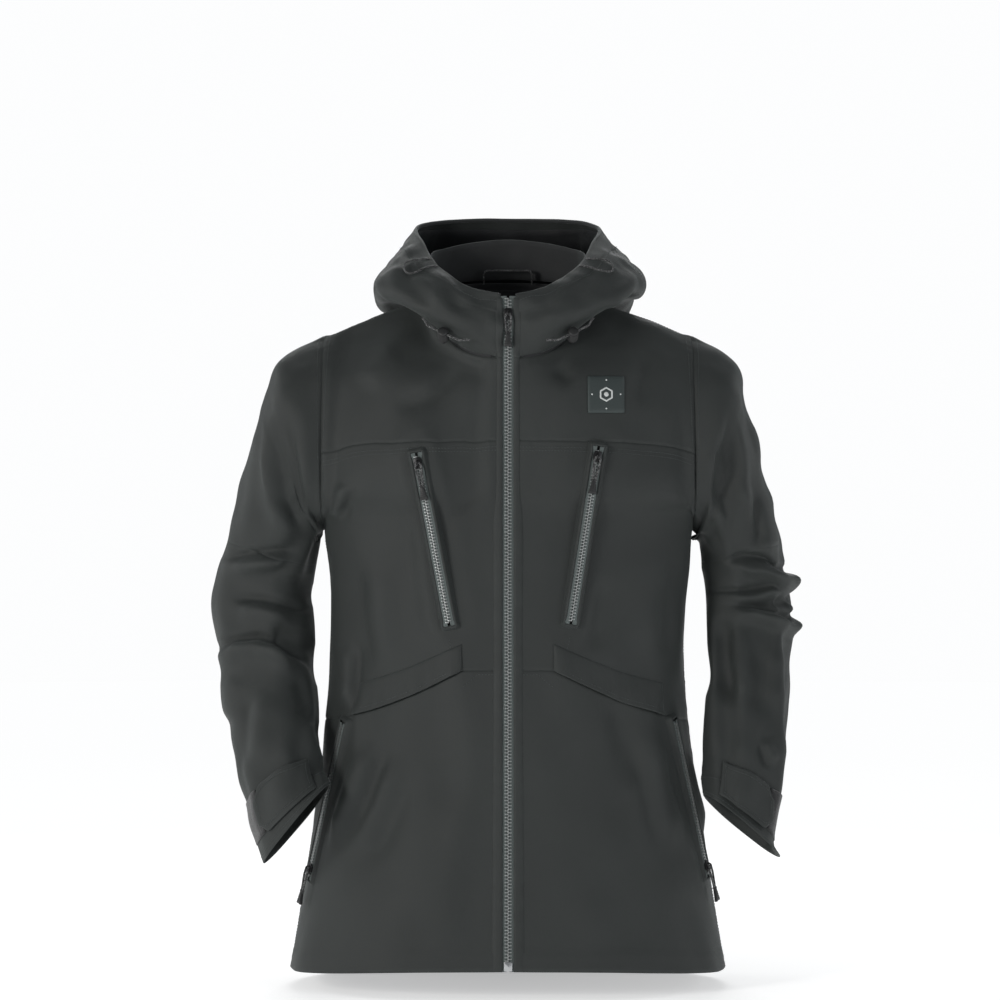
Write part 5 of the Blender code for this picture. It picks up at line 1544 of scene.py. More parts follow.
def storm_flap(side):
    """The flap over the front seam: its top runs into the chest panel, its lower edge stands free."""
    sheet = SHEETS[side]
    u = column_lines(sheet, *FLAP_COLUMNS, 2.3, 0.0045)
    share = fine_steps(0.045, 0.0035, low=True)
    low = flap_line(u)
    v = low + FLAP_HEIGHT * share[:, None]
    grid_u = np.broadcast_to(u, v.shape)
    across = (grid_u - u[0]) / (u[-1] - u[0])
    ends = smooth(0, 0.05, across) * smooth(1, 0.95, across)
    pucker = 0.0006 * np.sin(grid_u * 19) * (1 - share[:, None])
    top = 0.0006 + (0.0038 * (1 - share[:, None]) ** 0.7 + pucker) * (0.5 + 0.5 * ends)
    outer = sheet.at(grid_u, v, top)
    inner = sheet.at(grid_u, v, top - 0.0010 - 0.0009 * (1 - share[:, None]))
    flap = slab(f"{side}_storm_flap", outer, inner, "shell_fabric")
    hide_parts(f"{side}_pocket_flap")
    joint = JOINTS[f"{side}_flap_lift"]
    pivot = np.array(joint["pos_m"])
    axis = unit(np.array(joint["axis"], float))
    down = np.cross(axis, [0, -1, 0])
    down *= -np.sign(down[2])
    near, far = pivot + unit(down) * 0.001, pivot + unit(down) * 0.014
    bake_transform(flap)
    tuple(near)
    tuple(far)
    run = sheet_run(sheet, u[2:-2], flap_line(u[2:-2]) + 0.035, 0.0040)
    line = stitches(f"{side}_flap_stitching", [run])
    give(line, f"{side}_flap")


def across_stitches(sheet, columns, rows):
    """Runs across a sheet, one at each row."""
    return [sheet_run(sheet, columns, row) for row in rows]


def seam_stitches():
    """Topstitching beside the seams, at the hem and along the front edges."""
    rows = (YOKE - 0.13, YOKE - 0.20, 0.165, 0.02)
    beside_armhole = np.linspace(ARMPIT + 0.2, TOP - 0.1, 40)
    runs = []
    for side in SIDES:
        sheet = SHEETS[side]
        runs += across_stitches(sheet, np.linspace(0.08, SIDE - 0.06, 60), rows[:2])
        middle = np.linspace(0.05, FLAP_COLUMNS[0], 14)
        runs.append(sheet_run(sheet, middle, flap_line(np.linspace(0, 1, 14)) - 0.04))
        runs += across_stitches(sheet, np.linspace(0.08, SIDE - 0.06, 60), rows[2:])
        column, row = CHEST_ZIP[side][1]
        dart = np.linspace(column, FLAP_COLUMNS[0] + 0.1, 12)
        runs.append(sheet_run(sheet, dart, np.linspace(row - 0.17, 2.36, 12)))
        runs.append(sheet_run(sheet, np.linspace(NECK + 0.05, SIDE - 0.05, 20), TOP - 0.16))
        runs.append(sheet_run(sheet, np.full(60, SIDE - 0.10), np.linspace(0.02, ARMPIT, 60)))
        runs.append(sheet_run(sheet, np.full(40, SIDE - 0.14), beside_armhole))
        runs.append(sheet_run(sheet, np.full(90, 0.055), np.linspace(0.02, 8.9, 90)))
    back = SHEETS["back"]
    runs += across_stitches(back, np.linspace(0.06, 2 * SIDE - 0.06, 110), rows)
    for column in (0.14, 2 * SIDE - 0.14):
        runs.append(sheet_run(back, np.full(40, column), beside_armhole))
    give(stitches("body_topstitching", runs), "torso")


def sleeve_stitches(side):
    """Stitches round the sleeve: below the armhole and on both edges of the cuff's hem."""
    around = np.linspace(0, ROUND - 0.001, 160)
    rows = ((0.10, 0.0, bend_shoulder), (CUFF - 0.42, 0.0007, bend_elbow), (CUFF - 0.07, 0.0007, bend_elbow))
    for number, (row, lift, bend) in enumerate(rows):
        run = sheet_run(SHEETS[f"{side}_sleeve"], around, row, lift)
        bend(stitches(f"{side}_sleeve_stitching_{number}", [run]), side)


# ---------------------------------------------------------------- cuffs
def cuff_closure(side):
    """The tab that closes the cuff, and the patch of loops it grips."""
    sheet, turn = SHEETS[f"{side}_sleeve"], ROUND / 360  # columns for each degree round the sleeve
    rows = np.linspace(CUFF - 0.72, CUFF - 0.22, 12)
    u = np.linspace(112, 165, 18) * turn
    grid_u, grid_v = np.broadcast_arrays(u, rows[:, None])
    outer, inner = sheet.at(grid_u, grid_v, 0.0018), sheet.at(grid_u, grid_v, 0.0003)
    loops = slab(f"{side}_cuff_loops", outer, inner, "hook_and_loop")
    give(loops, f"{side}_forearm", f"{side}_cuff_loop_patch")
    first, reach = 42, 76  # degrees round the sleeve where the tab starts, and how far it goes
    share = np.linspace(0, 1, 26)
    u = (first + reach * share) * turn
    narrow = 0.13 * smooth(0.80, 1.0, share)
    taper = 0.05 * share
    low, high = CUFF - 0.78 + taper + narrow, CUFF - 0.14 - taper - narrow
    t = np.concatenate([[0, 0.03], np.linspace(0.1, 0.9, 10), [0.97, 1]])[:, None]
    grid_v = low + (high - low) * t
    grid_u = np.broadcast_to(u, grid_v.shape)
    crown = 0.0008 * np.sin(math.pi * t) ** 0.5
    sewn_down = 0.0012 * (1 - smooth(0, 0.12, share))
    outer = sheet.at(grid_u, grid_v, 0.0040 + crown - sewn_down)
    inner = sheet.at(grid_u, grid_v, 0.0024 - sewn_down)
    tab = slab(f"{side}_cuff_strap", outer, inner, "shell_fabric")
    give(tab, f"{side}_tab", f"{side}_cuff_tab")
    runs = []
    for level in (0.10, 0.90):
        runs.append(sheet_run(sheet, u[1:-1], (low + (high - low) * level)[1:-1], 0.0047))
    for column in (0.93, 0.08):
        place = np.full(12, (first + reach * column) * turn)
        ends = np.interp(column, share, low) + 0.07, np.interp(column, share, high) - 0.07
        runs.append(sheet_run(sheet, place, np.linspace(*ends, 12), 0.0048))
    give(stitches(f"{side}_cuff_strap_stitching", runs), f"{side}_tab")


# ---------------------------------------------------------------- zips
PLATE, BAR_LIFT, SLIDER_LENGTH = 0.0009, 0.0024, 0.012
POCKET_BASE, POCKET_TOP = 0.0011, 0.0039  # the inner faces of a pocket slider's two plates
MAIN_BASE, MAIN_TOP = -0.0021, 0.0011
POCKET_PITCH, MAIN_PITCH = 0.0034, 0.0037  # teeth
TAPE_EDGE = 0.0016  # from the zip's middle to its tape's inner edge


def placed(obj, matrix):
    """The object, moved to a frame."""
    obj.matrix_world = matrix
    bpy.context.view_layer.update()
    return obj


def tooth(reach, low, high):
    """One moulded tooth: a narrow neck on the tape and a wide head that passes the zip's middle."""
    half = ((reach, 0.00062), (0.0016, 0.00056), (0.0008, 0.00084), (-0.0002, 0.00084), (-0.0006, 0.0004))
    outline = half + tuple((x, -z) for x, z in half[::-1])
    return plate("tooth", outline, low, high, "zip_teeth", bevel=0.00016)


def tooth_row(name, reach, low, high, start, end, pitch, sides, matrix):
    """Rows of teeth as one mesh; sides lists (sign, shift), shift being a share of the pitch."""
    model = tooth(reach, low, high)
    points = np.array([v.co for v in model.data.vertices])
    polygons = [list(p.vertices) for p in model.data.polygons]
    removed(model)
    all_points, all_faces = [], []
    for sign, shift in sides:
        for z in np.arange(start + shift * pitch, end, pitch):
            base = len(points) * len(all_points)
            all_points.append(points * np.array([sign, 1, 1]) + np.array([0, 0, z]))
            step = 1 if sign > 0 else -1
            all_faces += [[base + k for k in polygon[::step]] for polygon in polygons]
    obj = mesh_object(name, np.concatenate(all_points), all_faces, crease_angle=35)
    return placed(finished(obj, "zip_teeth"), matrix)


def tape_strip(name, outer, low, high, start, end, matrix, sign):
    """One side of a zip's tape, with a corded inner edge."""
    z = np.arange(start, end, 0.004)
    x = np.array([TAPE_EDGE, TAPE_EDGE + 0.0004, TAPE_EDGE + 0.0011, (TAPE_EDGE + outer) / 2, outer])
    top = np.array([high + 0.0003, high + 0.0005, high, high, high])
    grid_x, grid_z = np.broadcast_arrays(sign * x, z[:, None])
    upper = np.stack([grid_x, np.broadcast_to(top, grid_x.shape), grid_z], axis=-1)
    lower = np.stack([grid_x, np.full_like(grid_x, low), grid_z], axis=-1)
    return placed(slab(name, upper, lower, "zip_tape"), matrix)


def slider(name, base, top, matrix):
    """Slider: shield-shaped upper and lower plates, side flanges, a wedge and a bridge for the pull."""
    mm = 0.001
    half = ((3.1, -6), (4.6, -2.6), (4.9, 3.2), (3.6, 6.2), (1.2, 6.6))
    shield = [(x * mm, z * mm) for x, z in half + tuple((-x, z) for x, z in half[::-1])]
    pieces = [plate(name, shield, top, top + PLATE, "dark_metal", 0.00035)]
    pieces.append(plate("lower_plate", shield, base - PLATE, base, "dark_metal", 0.0003))
    wedge = rounded_outline(0.0004, 0.0009, 0.0003, (0, 0.0051))
    pieces.append(plate("wedge", wedge, base - 0.0002, top + 0.0002, "dark_metal", 0.0001))
    for sign in (-1, 1):
        flange = rounded_outline(0.00035, 0.0030, 0.0003, (sign * 0.00445, 0.0003))
        pieces.append(plate("flange", flange, top - 0.0010, top + 0.0005, "dark_metal", 0.0001))
    rise = PLATE + BAR_LIFT + 0.0017
    half_span, shoulder = 0.0031, 0.55 * rise
    arc = [(0, top + PLATE * 0.5, -half_span), (0, top + shoulder, -half_span)]
    arc += [(0, top + rise * (0.55 + 0.45 * math.sin(t)), -half_span * math.cos(t))
            for t in np.linspace(0.3, 2.84, 9)]
    arc += [(0, top + shoulder, half_span), (0, top + PLATE * 0.5, half_span)]
    pieces.append(swept("bridge", resampled(arc, 0.0004), circle(0.00085, 10), "dark_metal"))
    return placed(merged(name, pieces), matrix)


def grip(name, length):
    """Moulded fishtail grip with ribs across it."""
    z = -length
    outline = [(0.0021, z + 0.0145), (0.0025, z + 0.0110), (0.0032, z + 0.0060), (0.0048, z + 0.0012),
               (0.0041, z), (0.0, z + 0.0007)]
    outline += [(-x, y) for x, y in outline[-2::-1]]
    pieces = [plate(name, outline, -0.0017, 0.0017, "moulded_grip", 0.0007)]
    for k in range(4):
        level = z + 0.0032 + 0.0022 * k
        half = 0.0037 - 0.00032 * k
        for face in (-1, 1):
            bar = [(x, face * 0.0016, level) for x in np.linspace(-half, half, 5)]
            pieces.append(swept("rib", bar, circle(0.00042, 8), "moulded_grip"))
    return merged(name, pieces)


def pull(name, length, matrix, body, node):
    """A loop of flecked cord through the slider's bridge, closed by a moulded grip."""
    half = [(0.0012, 0, -length + 0.011), (0.0013, 0, -length + 0.016), (0.0022, 0.0001, -0.016),
            (0.0032, 0.0001, -0.009), (0.0031, 0, -0.0042), (0.0021, 0, -0.0010), (0.0008, 0, 0.0002)]
    path = np.array(half + [(-x, y, z) for x, y, z in half[::-1]])
    cord = placed(braided(f"{name}_cord", curved(path, 90), 0.00125), matrix)
    end = placed(grip(f"{name}_grip", length), matrix)
    wrap = [(0.0028 * math.cos(t), 0.0019 * math.sin(t), -length + 0.0155) for t in even_turns(23)]
    collar = swept(f"{name}_collar", wrap, circle(0.0007, 8), "moulded_grip", closed=True)
    give(cord, body, node)
    give(end, body)
    give(placed(collar, matrix), body)


def surface_height(side):
    """A function that finds how high the cloth lies under a point of a zip's frame."""
    sheet, above = SHEETS[side], 0.03
    u, v = np.meshgrid(np.linspace(0, SIDE, 90), np.linspace(0, TOP, 150))
    points = sheet.at(u, v)
    faces = quads(np.arange(u.size).reshape(u.shape))
    tree = BVHTree.FromPolygons(points.reshape(-1, 3).tolist(), faces.tolist())

    def height(matrix, x, z):
        start = matrix @ Vector((x, above, z))
        direction = (matrix.to_3x3() @ Vector((0, -1, 0))).normalized()
        hit = tree.ray_cast(start, direction)
        return above - hit[3] if hit[0] is not None else 0.0

    return height


def zip_welt(name, matrix, length, height):
    """The glued edge round a pocket zip: cloth that comes up from the pocket's sides over the tape."""
    loop = np.array(rounded_outline(0.0112, length / 2 + 0.0085, 0.0040, (0, length / 2), 7))
    closed = np.concatenate([loop, loop[:1]])
    run = path_lengths(closed, 0)
    loop = along_path(np.linspace(0, run[-1], int(run[-1] / 0.004), endpoint=False), run, closed)
    middle = np.stack([np.zeros(len(loop)), np.clip(loop[:, 1], 0.004, length - 0.004)], axis=-1)
    inward = unit(middle - loop)
    # Rings from the outside in: inset, how far each has left the cloth for its own height, and that.
    rings = ((0.0, 0.0, 0.0034), (0.0010, 0.08, 0.0034), (0.0022, 0.55, 0.0034), (0.0034, 0.97, 0.0034),
             (0.0046, 1.0, 0.0034), (0.0054, 1.0, 0.0030))
    rows_outer, rows_inner = [], []
    for number, (inset, share, own) in enumerate(rings):
        ring = loop + inward * inset
        ground = np.array([height(matrix, x, z) for x, z in ring])
        top = (ground + 0.0005) * (1 - share) + own * share if number else ground - 0.0002
        under = np.minimum(top - 0.0009, ground - 0.0003) if number < 2 else top - 0.0008
        for rows, level in ((rows_outer, top), (rows_inner, under)):
            rows.append([matrix @ Vector((x, h, z)) for (x, z), h in zip(ring, level)])
    welt = slab(name, np.array(rows_outer), np.array(rows_inner), "shell_fabric", wrap=True)
    return give(welt, "torso")


def pocket_zip(side, kind, ends, at_top, height):
    """A whole pocket zip: tapes, teeth, slider, pull and welt."""
    matrix, length = zip_frame(side, ends)
    name = f"{side}_{kind}_zip"
    for number, (sign, *node) in enumerate(((-1, f"{name}_tape"), (1,))):
        strip = tape_strip(f"{name}_band_{number}", 0.0076, 0.0019, 0.0024, -0.003, length + 0.003,
                           matrix, sign)
        give(strip, "torso", *node)
    teeth = tooth_row(f"{name}_chain", 0.0034, 0.0016, 0.0035, 0.001, length - 0.001, POCKET_PITCH,
                      ((1, 0.0), (-1, 0.5)), matrix)
    give(teeth, "torso", f"{name}_teeth")
    end = 0.003 + SLIDER_LENGTH / 2
    where = matrix @ Matrix.Translation((0, 0, length - end if at_top else end))
    runner = slider(f"{name}_runner", POCKET_BASE, POCKET_TOP, where)
    give(runner, f"{side}_{kind}_slider", f"{name}_slider")
    bar = where @ Matrix.Translation((0, POCKET_TOP + PLATE + BAR_LIFT, 0))
    pull(f"{name}_puller", 0.041, bar, f"{side}_{kind}_pull", f"{name}_pull")
    zip_welt(f"{name}_welt", matrix, length, height)


def main_frame():
    """The front zip's frame at its lower end, and its length."""
    low = (0, front_line_y(HEM_FRONT), HEM_FRONT)
    along = Vector((0, front_line_y(COLLAR_TOP), COLLAR_TOP)) - Vector(low)
    return frame_matrix(low, along, (0, -1, 0)), along.length


def front_zip():
    """The front zip: tapes, teeth, bottom box, slider, pull and the folded edges beside it."""
    matrix, length = main_frame()
    for side, sign in SIDES.items():
        teeth = tooth_row(f"main_zip_chain_{side}", 0.0038, -0.0014, 0.0009, 0.0118, length - 0.002,
                          MAIN_PITCH, ((-sign, 0.5 * (sign > 0)),), matrix)
        give(teeth, "torso", f"main_zip_teeth_{side}")
        tape = tape_strip(f"main_zip_band_{side}", 0.0090, -0.0012, -0.0007, 0.0, length, matrix, -sign)
        give(tape, "torso", f"main_zip_tape_{side}")
        folded_edges(side)
    box = rounded_outline(0.0046, 0.0052, 0.0012, (0, 0.0056))
    bottom = plate("main_zip_retainer", box, -0.0022, 0.0014, "bright_metal", 0.0006)
    give(placed(bottom, matrix), "torso", "main_zip_bottom_box")
    where = matrix @ Matrix.Translation((0, 0, length - 0.020))
    give(slider("main_zip_runner", MAIN_BASE, MAIN_TOP, where), "main_slider", "main_zip_slider")
    bar = where @ Matrix.Translation((0, MAIN_TOP + PLATE + BAR_LIFT, 0))
    pull("main_zip_puller", 0.036, bar, "main_pull", "main_zip_pull")


def folded_edges(side):
    """The folded edges of the front and of the collar, over the zip's tape."""
    sign = SIDES[side]
    xs = np.array([0.0062, 0.0066, 0.0085, 0.0105, 0.0128])
    lifts = np.array([0.0008, 0.0014, 0.0015, 0.0013, 0.0004])
    front, collar = np.clip((xs - ZIP_EDGE) / 0.044, 0, None), np.clip((xs - HOOD_EDGE) / 0.040, 0, None)
    for name, sheet, first, u, v in (
        ("front", SHEETS[side], ZIP_EDGE, front, np.linspace(0.0, TOP, 170)),
        ("collar", SHEETS["hood"], HOOD_EDGE, collar if sign > 0 else HOOD_LAST - collar,
         np.linspace(0.0, 4.7, 30)),
    ):
        grid_u, grid_v = np.broadcast_arrays(u, v[:, None])
        shift = np.zeros(grid_u.shape + (3,))
        shift[..., 0] = -sign * np.clip(first - xs, 0, None)
        outer, inner = (sheet.at(grid_u, grid_v, lifts - down) + shift for down in (0, 0.0009))
        give(slab(f"{name}_edge_{side}", outer, inner, "shell_fabric"), "torso")


# ---------------------------------------------------------------- collar, hood and trims
def inwards(points):
    """Level directions from points of the neck towards its middle."""
    inward = np.array([0.0, TORSO_Y - 0.01, 0.0]) - points
    inward[:, 2] = 0
    return unit(inward)


def collar_grid(count=90, rows=9):
    """The inner collar: it stands just inside the neck seam, higher at the front."""
    edge_x = 0.012
    seam = np.array([(x, TORSO_Y + depth, z) for (x, depth, z), *_ in HOOD_COLUMNS])
    height = np.array([0.058, 0.052, 0.046, 0.040, 0.040, 0.042, 0.044])
    inward = inwards(seam)
    low = seam + inward * 0.0075 + np.array([0, 0, 0.002])
    low[0, 0] = edge_x
    high = low + inward * 0.004
    high[:, 2] += height
    high[0, 0] = edge_x
    half = np.stack([low, (low + high) / 2 - inward * 0.001, high])
    whole = np.concatenate([half, mirrored(half)[:, -2::-1]], axis=1)
    return evaluate(padded(whole), np.linspace(0, HOOD_LAST, count), np.linspace(0, 2, rows)[:, None])


def inner_collar():
    """The stretch collar inside the neck."""
    points = collar_grid()
    normal = grid_normals(points)
    towards = np.array([0.0, TORSO_Y - 0.01, 0.74]) - points
    normal *= np.sign((normal * towards).sum(-1).mean())
    outer = points + normal * 0.0007 * wander(points, 0.03, 51)[..., None]
    obj = slab("stand_collar", outer, outer + normal * 0.0016, "stretch_fabric", slot="shell_fabric")
    give(obj, "torso", "collar")


def neck_tape():
    """A tape inside the neck that covers the seam between the hood and the body."""
    seam = SHEETS["hood"].at(np.linspace(0.25, HOOD_LAST - 0.25, 170), 0.0)
    inward = inwards(seam)
    rows = ((0.0016, -0.0080), (0.0010, -0.0040), (0.0004, 0.0), (0.0010, 0.0040), (0.0016, 0.0075))
    outer = np.array([seam + inward * reach + np.array([0, 0, rise]) for reach, rise in rows])
    give(slab("neck_seam_tape", outer, outer + inward * 0.0009, "lining_fabric"), "torso")


def bend_hood(obj):
    """Only bakes the object's transform into its mesh; nothing here lifts the hood."""
    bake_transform(obj)


def hood_shell():
    """The hood: shell, lining, rim binding, topstitching and the grey facings beside the face."""
    sheet = SHEETS["hood"]
    columns = column_lines(sheet, 0, HOOD_LAST, 3.0, 0.0050)
    cowl = cloth_panel("hood_cowl", sheet, 0.0, HOOD_TOP, columns, seams=("low",), bands=(("high", 0.020),))
    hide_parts("left_hood_side", "right_hood_side", "hood_shell")
    bend_hood(cowl)
    columns = column_lines(sheet, 0.08, HOOD_LAST - 0.08, 3.0, 0.0070)
    lining = cloth_panel("hood_lining", sheet, 0.1, HOOD_TOP - 0.1, columns, "lining_fabric",
                         lift=-0.0040, thick=0.0008, spacing=0.007)
    bend_hood(lining)
    u, rim_row = np.linspace(0, HOOD_LAST, 260), HOOD_TOP - 0.01
    edge = sheet.at(u, rim_row, -0.0016)
    rim = swept("hood_rim_binding", edge, circle(0.0021, 12), "stretch_fabric", sheet.normal(u, rim_row))
    bend_hood(rim)
    runs = [sheet_run(sheet, u, 4.35, 0.0007)]
    for column in (3.1, HOOD_LAST - 3.1):
        runs.append(sheet_run(sheet, np.full(60, column), np.linspace(0.1, 4.3, 60)))
    bend_hood(stitches("hood_topstitching", runs))
    for side, (start, end) in {"left": (2.3, 3.7), "right": (HOOD_LAST - 3.7, HOOD_LAST - 2.3)}.items():
        patch = cloth_panel(f"{side}_hood_inner_facing", sheet, 4.15, 4.93, np.linspace(start, end, 24),
                            "grey_lining", lift=-0.0052, thick=0.0007, spacing=0.005)
        bend_hood(patch)


def cord_locks():
    """Cord locks under the hood's folds, on the drawcord of the face edge."""
    net = hood_net()
    for side, u in (("left", LOCK_COLUMN), ("right", HOOD_LAST - LOCK_COLUMN)):
        point = evaluate(net, u, 1.0)
        out = net_normals(net, u, 1.0, 1)
        across = unit(evaluate(net, u + 0.05, 1.0) - evaluate(net, u - 0.05, 1.0))
        up = np.cross(out, across)
        z = Vector(up if up[2] < 0 else -up).normalized()
        x = Vector(across)
        turn = Matrix((x, z.cross(x).normalized(), z)).transposed().to_4x4()
        matrix = Matrix.Translation(Vector(point + out * 0.0085)) @ turn
        profile = [(0, -0.008), (0.0048, -0.008), (0.0056, -0.0072), (0.0060, -0.006)]
        for level in -0.0050 + 0.0018 * np.arange(6):  # grooves round the barrel
            profile += [(0.0060, level), (0.0055, level + 0.0005), (0.0055, level + 0.0009),
                        (0.0060, level + 0.0014)]
        profile += [(0.0056, 0.0064), (0.0050, 0.0070), (0.0043, 0.0070), (0.0043, 0.0), (0, 0.0)]
        barrel = turned(f"{side}_lock_barrel", profile, "moulded_grip", 32)
        give(placed(barrel, matrix), f"{side}_cord_lock", f"{side}_hood_barrel")
        cap = [(0, 0.0036), (0.0036, 0.0036), (0.0036, 0.0098), (0.0033, 0.0106), (0.0026, 0.0109),
               (0, 0.0107)]
        button = turned(f"{side}_lock_cap", cap, "moulded_grip", 32)
        give(placed(button, matrix), f"{side}_lock_button", f"{side}_hood_button")
        run = []
        for reach in np.linspace(-0.031, 0.031, 41):
            dip = 0.0058 * float(smooth(0.019, 0.031, abs(reach)))
            run.append(matrix @ Vector((reach, 0, -0.004)) - Vector(out) * dip)
        cord = braided(f"{side}_lock_cord", run, 0.0012)
        give(cord, "torso", f"{side}_hood_drawcord")


EYELET = ((0.0012, -0.0010), (0.0030, -0.0010), (0.0031, 0.0002), (0.0026, 0.0007), (0.0014, 0.0007),
          (0.0012, 0.0002))


def standing(point, out):
    """A frame at the point, with Z along out."""
    return Matrix.Translation(Vector(point)) @ Vector(out).to_track_quat("Z", "Y").to_matrix().to_4x4()


def rim_loops():
    """Loops of cord that come out of the hood's rim, one each side of the face."""
    sheet = SHEETS["hood"]
    for side, u in (("left", 2.15), ("right", HOOD_LAST - 2.15)):
        across = np.array([-0.16, -0.17, -0.20, -0.10, 0.06, 0.17, 0.18, 0.16])
        rows = np.array([4.86, 4.55, 4.15, 3.86, 3.84, 4.10, 4.50, 4.86])
        lifts = np.array([0.0006, 0.0022, 0.0040, 0.0032, 0.0030, 0.0034, 0.0022, 0.0006])
        path = curved(sheet.at(u + across, rows, lifts), 60)
        bend_hood(braided(f"{side}_rim_loop", path, 0.0011))
        for end, name in ((0, "high"), (-1, "low")):
            ring = turned(f"{side}_rim_eyelet_{name}", EYELET, "dark_metal", 20, ring=True)
            placed(ring, standing(path[end], sheet.normal(u + across[end], 4.8)))
            bend_hood(ring)


def locate(net, x, z, guess=(2.0, 6.5)):
    """Columns and rows of the net at the given x and z, by Newton steps."""
    x, z = np.broadcast_arrays(np.asarray(x, float), np.asarray(z, float))
    u, v = np.full(x.shape, guess[0]), np.full(x.shape, guess[1])
    step = 1e-3
    for _ in range(12):
        here = evaluate(net, u, v)
        du = (evaluate(net, u + step, v) - here) / step
        dv = (evaluate(net, u, v + step) - here) / step
        miss_x, miss_z = x - here[..., 0], z - here[..., 2]
        det = du[..., 0] * dv[..., 2] - dv[..., 0] * du[..., 2]
        u = u + (miss_x * dv[..., 2] - dv[..., 0] * miss_z) / det
        v = v + (du[..., 0] * miss_z - miss_x * du[..., 2]) / det
    return u, v


def chest_badge():
    """A moulded badge with four studs and a plain hexagon as its mark."""
    net, sheet, half = front_pattern("left"), SHEETS["left"], 0.0195
    reach = np.linspace(-half, half, 15)
    u, v = locate(net, BADGE[0] + reach, BADGE[1] + reach[:, None])
    edge = np.minimum(half - np.abs(reach), (half - np.abs(reach))[:, None])
    top = 0.0016 + 0.0005 * smooth(0, 0.003, edge)
    badge = slab("badge_plate", sheet.at(u, v, top), sheet.at(u, v, 0.0004), "badge_rubber")
    give(badge, "torso", "chest_badge")
    angles = even_turns(60)
    sector = (angles + math.pi / 6) % (math.pi / 3) - math.pi / 6
    radius = 0.0072 * math.cos(math.pi / 6) / np.cos(sector)  # a hexagon's
    u, v = locate(net, BADGE[0] + radius * np.cos(angles), BADGE[1] + radius * np.sin(angles))
    path, normals = sheet.at(u, v, np.full(u.shape, 0.0021)), sheet.normal(u, v)
    mark = swept("badge_mark_ring", path, circle(0.0009, 10, 0.5), "badge_mark", normals, closed=True)
    give(mark, "torso")
    for n, (x, z) in enumerate(((0, 0.0155), (0, -0.0155), (0.0155, 0), (-0.0155, 0), (0, 0))):
        u, v = locate(net, BADGE[0] + x, BADGE[1] + z)
        size = 0.0009 if n < 4 else 0.0026
        profile = [(0, -0.0006), (size, -0.0006), (size, 0.0003), (size * 0.8, 0.0006), (0, 0.0007)]
        stud = turned(f"badge_stud_{n}", profile, "badge_mark", 20)
        placed(stud, standing(sheet.at(u, v, 0.0021), sheet.normal(u, v)))
        give(stud, "torso")


def neck_hanger():
    """A webbing loop inside the back of the neck."""
    low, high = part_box("hanger_loop")
    thick, corner = 0.0008, 0.005  # half the webbing's thickness, and its bends' radius
    middle_y, half = (low.y + high.y) / 2, (high.x - low.x) / 2 - thick
    path = [(-half, middle_y, low.z), (-half, middle_y, high.z - corner)]
    path += [(-half + corner - corner * math.cos(t), middle_y, high.z - thick - corner + corner * math.sin(t))
             for t in np.linspace(0.2, 1.5, 6)]
    path += [(-x, y, z) for x, y, z in path[::-1]]
    edge = ((-0.0040, -0.0006), (-0.0034, -thick), (0.0034, -thick), (0.0040, -0.0006))
    section = edge + tuple((-x, -y) for x, y in edge)
    path = np.array(path)
    centre = np.array([0, middle_y, low.z])
    outward = unit((path - centre) * np.array([1, 0, 1]) + np.array([0, 0, 1e-6]))
    give(swept("neck_webbing_loop", path, section, "flecked_cord", outward), "torso", "hanger_loop")


def powder_skirt():
    """The snow skirt inside the waist: light cloth gathered on an elastic band, open at the front."""
    rows = np.linspace(1.0, 2.0, 16)[:, None]
    inset = -np.linspace(0.034, 0.015, 16)[:, None]
    right, left = (SHEETS[f"{side}_under"].at(np.linspace(0.9, SIDE, 60), rows, inset)
                   for side in ("right", "left"))
    middle = SHEETS["back_under"].at(np.linspace(0.05, 9.95, 130), rows, inset)
    ring = evened(np.concatenate([right, middle, left[:, ::-1]], axis=1), False, 6)
    out = unit(np.cross(np.gradient(ring, axis=0), np.gradient(ring, axis=1)))
    run = path_lengths(ring, 1)
    gather = 0.0016 * np.sin(run * 420 + 2 * np.sin(run * 37)) * smooth(2.05, 1.5, rows)
    outer = ring + out * gather[..., None]
    skirt = slab("snow_skirt", outer, outer - out * 0.0011, "lining_fabric")
    give(skirt, "torso", "powder_skirt")


def hem_cord():
    """The elastic cord inside the hem."""
    runs = []
    for name, columns in (("right", (0.35, 4.9)), ("back", (0.1, 9.9)), ("left", (4.9, 0.35))):
        runs.append(SHEETS[name].at(np.linspace(*columns, 60), 0.12, -0.0040))
    cord = swept("hem_shock_cord", resampled(np.concatenate(runs), 0.004), circle(0.0013, 8), "flecked_cord")
    give(cord, "torso", "hem_drawcord")


# ---------------------------------------------------------------- studio
def aimed(name, data, place, target):
    """An object of a lamp or a camera that looks from its place at the target."""
    obj = in_scene(name, data)
    look = (Vector(target) - Vector(place)).to_track_quat("-Z", "Y").to_matrix().to_4x4()
    obj.matrix_world = Matrix.Translation(place) @ look
    return obj


LAMPS = (  # name, place, size, power, colour
    ("key", (-2.3, -2.5, 1.05), 0.8, 44, (1.0, 0.985, 0.96)),
    ("fill", (2.4, -2.4, 0.8), 1.4, 13, (0.95, 0.98, 1.0)),
    ("top", (0.0, -0.3, 2.9), 1.4, 3, (1, 1, 1)),
    ("left_edge", (-2.4, 0.8, 1.2), 0.8, 10, (1, 1, 1)),
    ("right_edge", (2.4, 0.8, 1.2), 0.8, 7, (1, 1, 1)),
    ("back_wash", (0.0, 2.4, 1.8), 1.6, 34, (1, 1, 1)),
)
PALE = (0.98, 0.985, 0.99, 1)


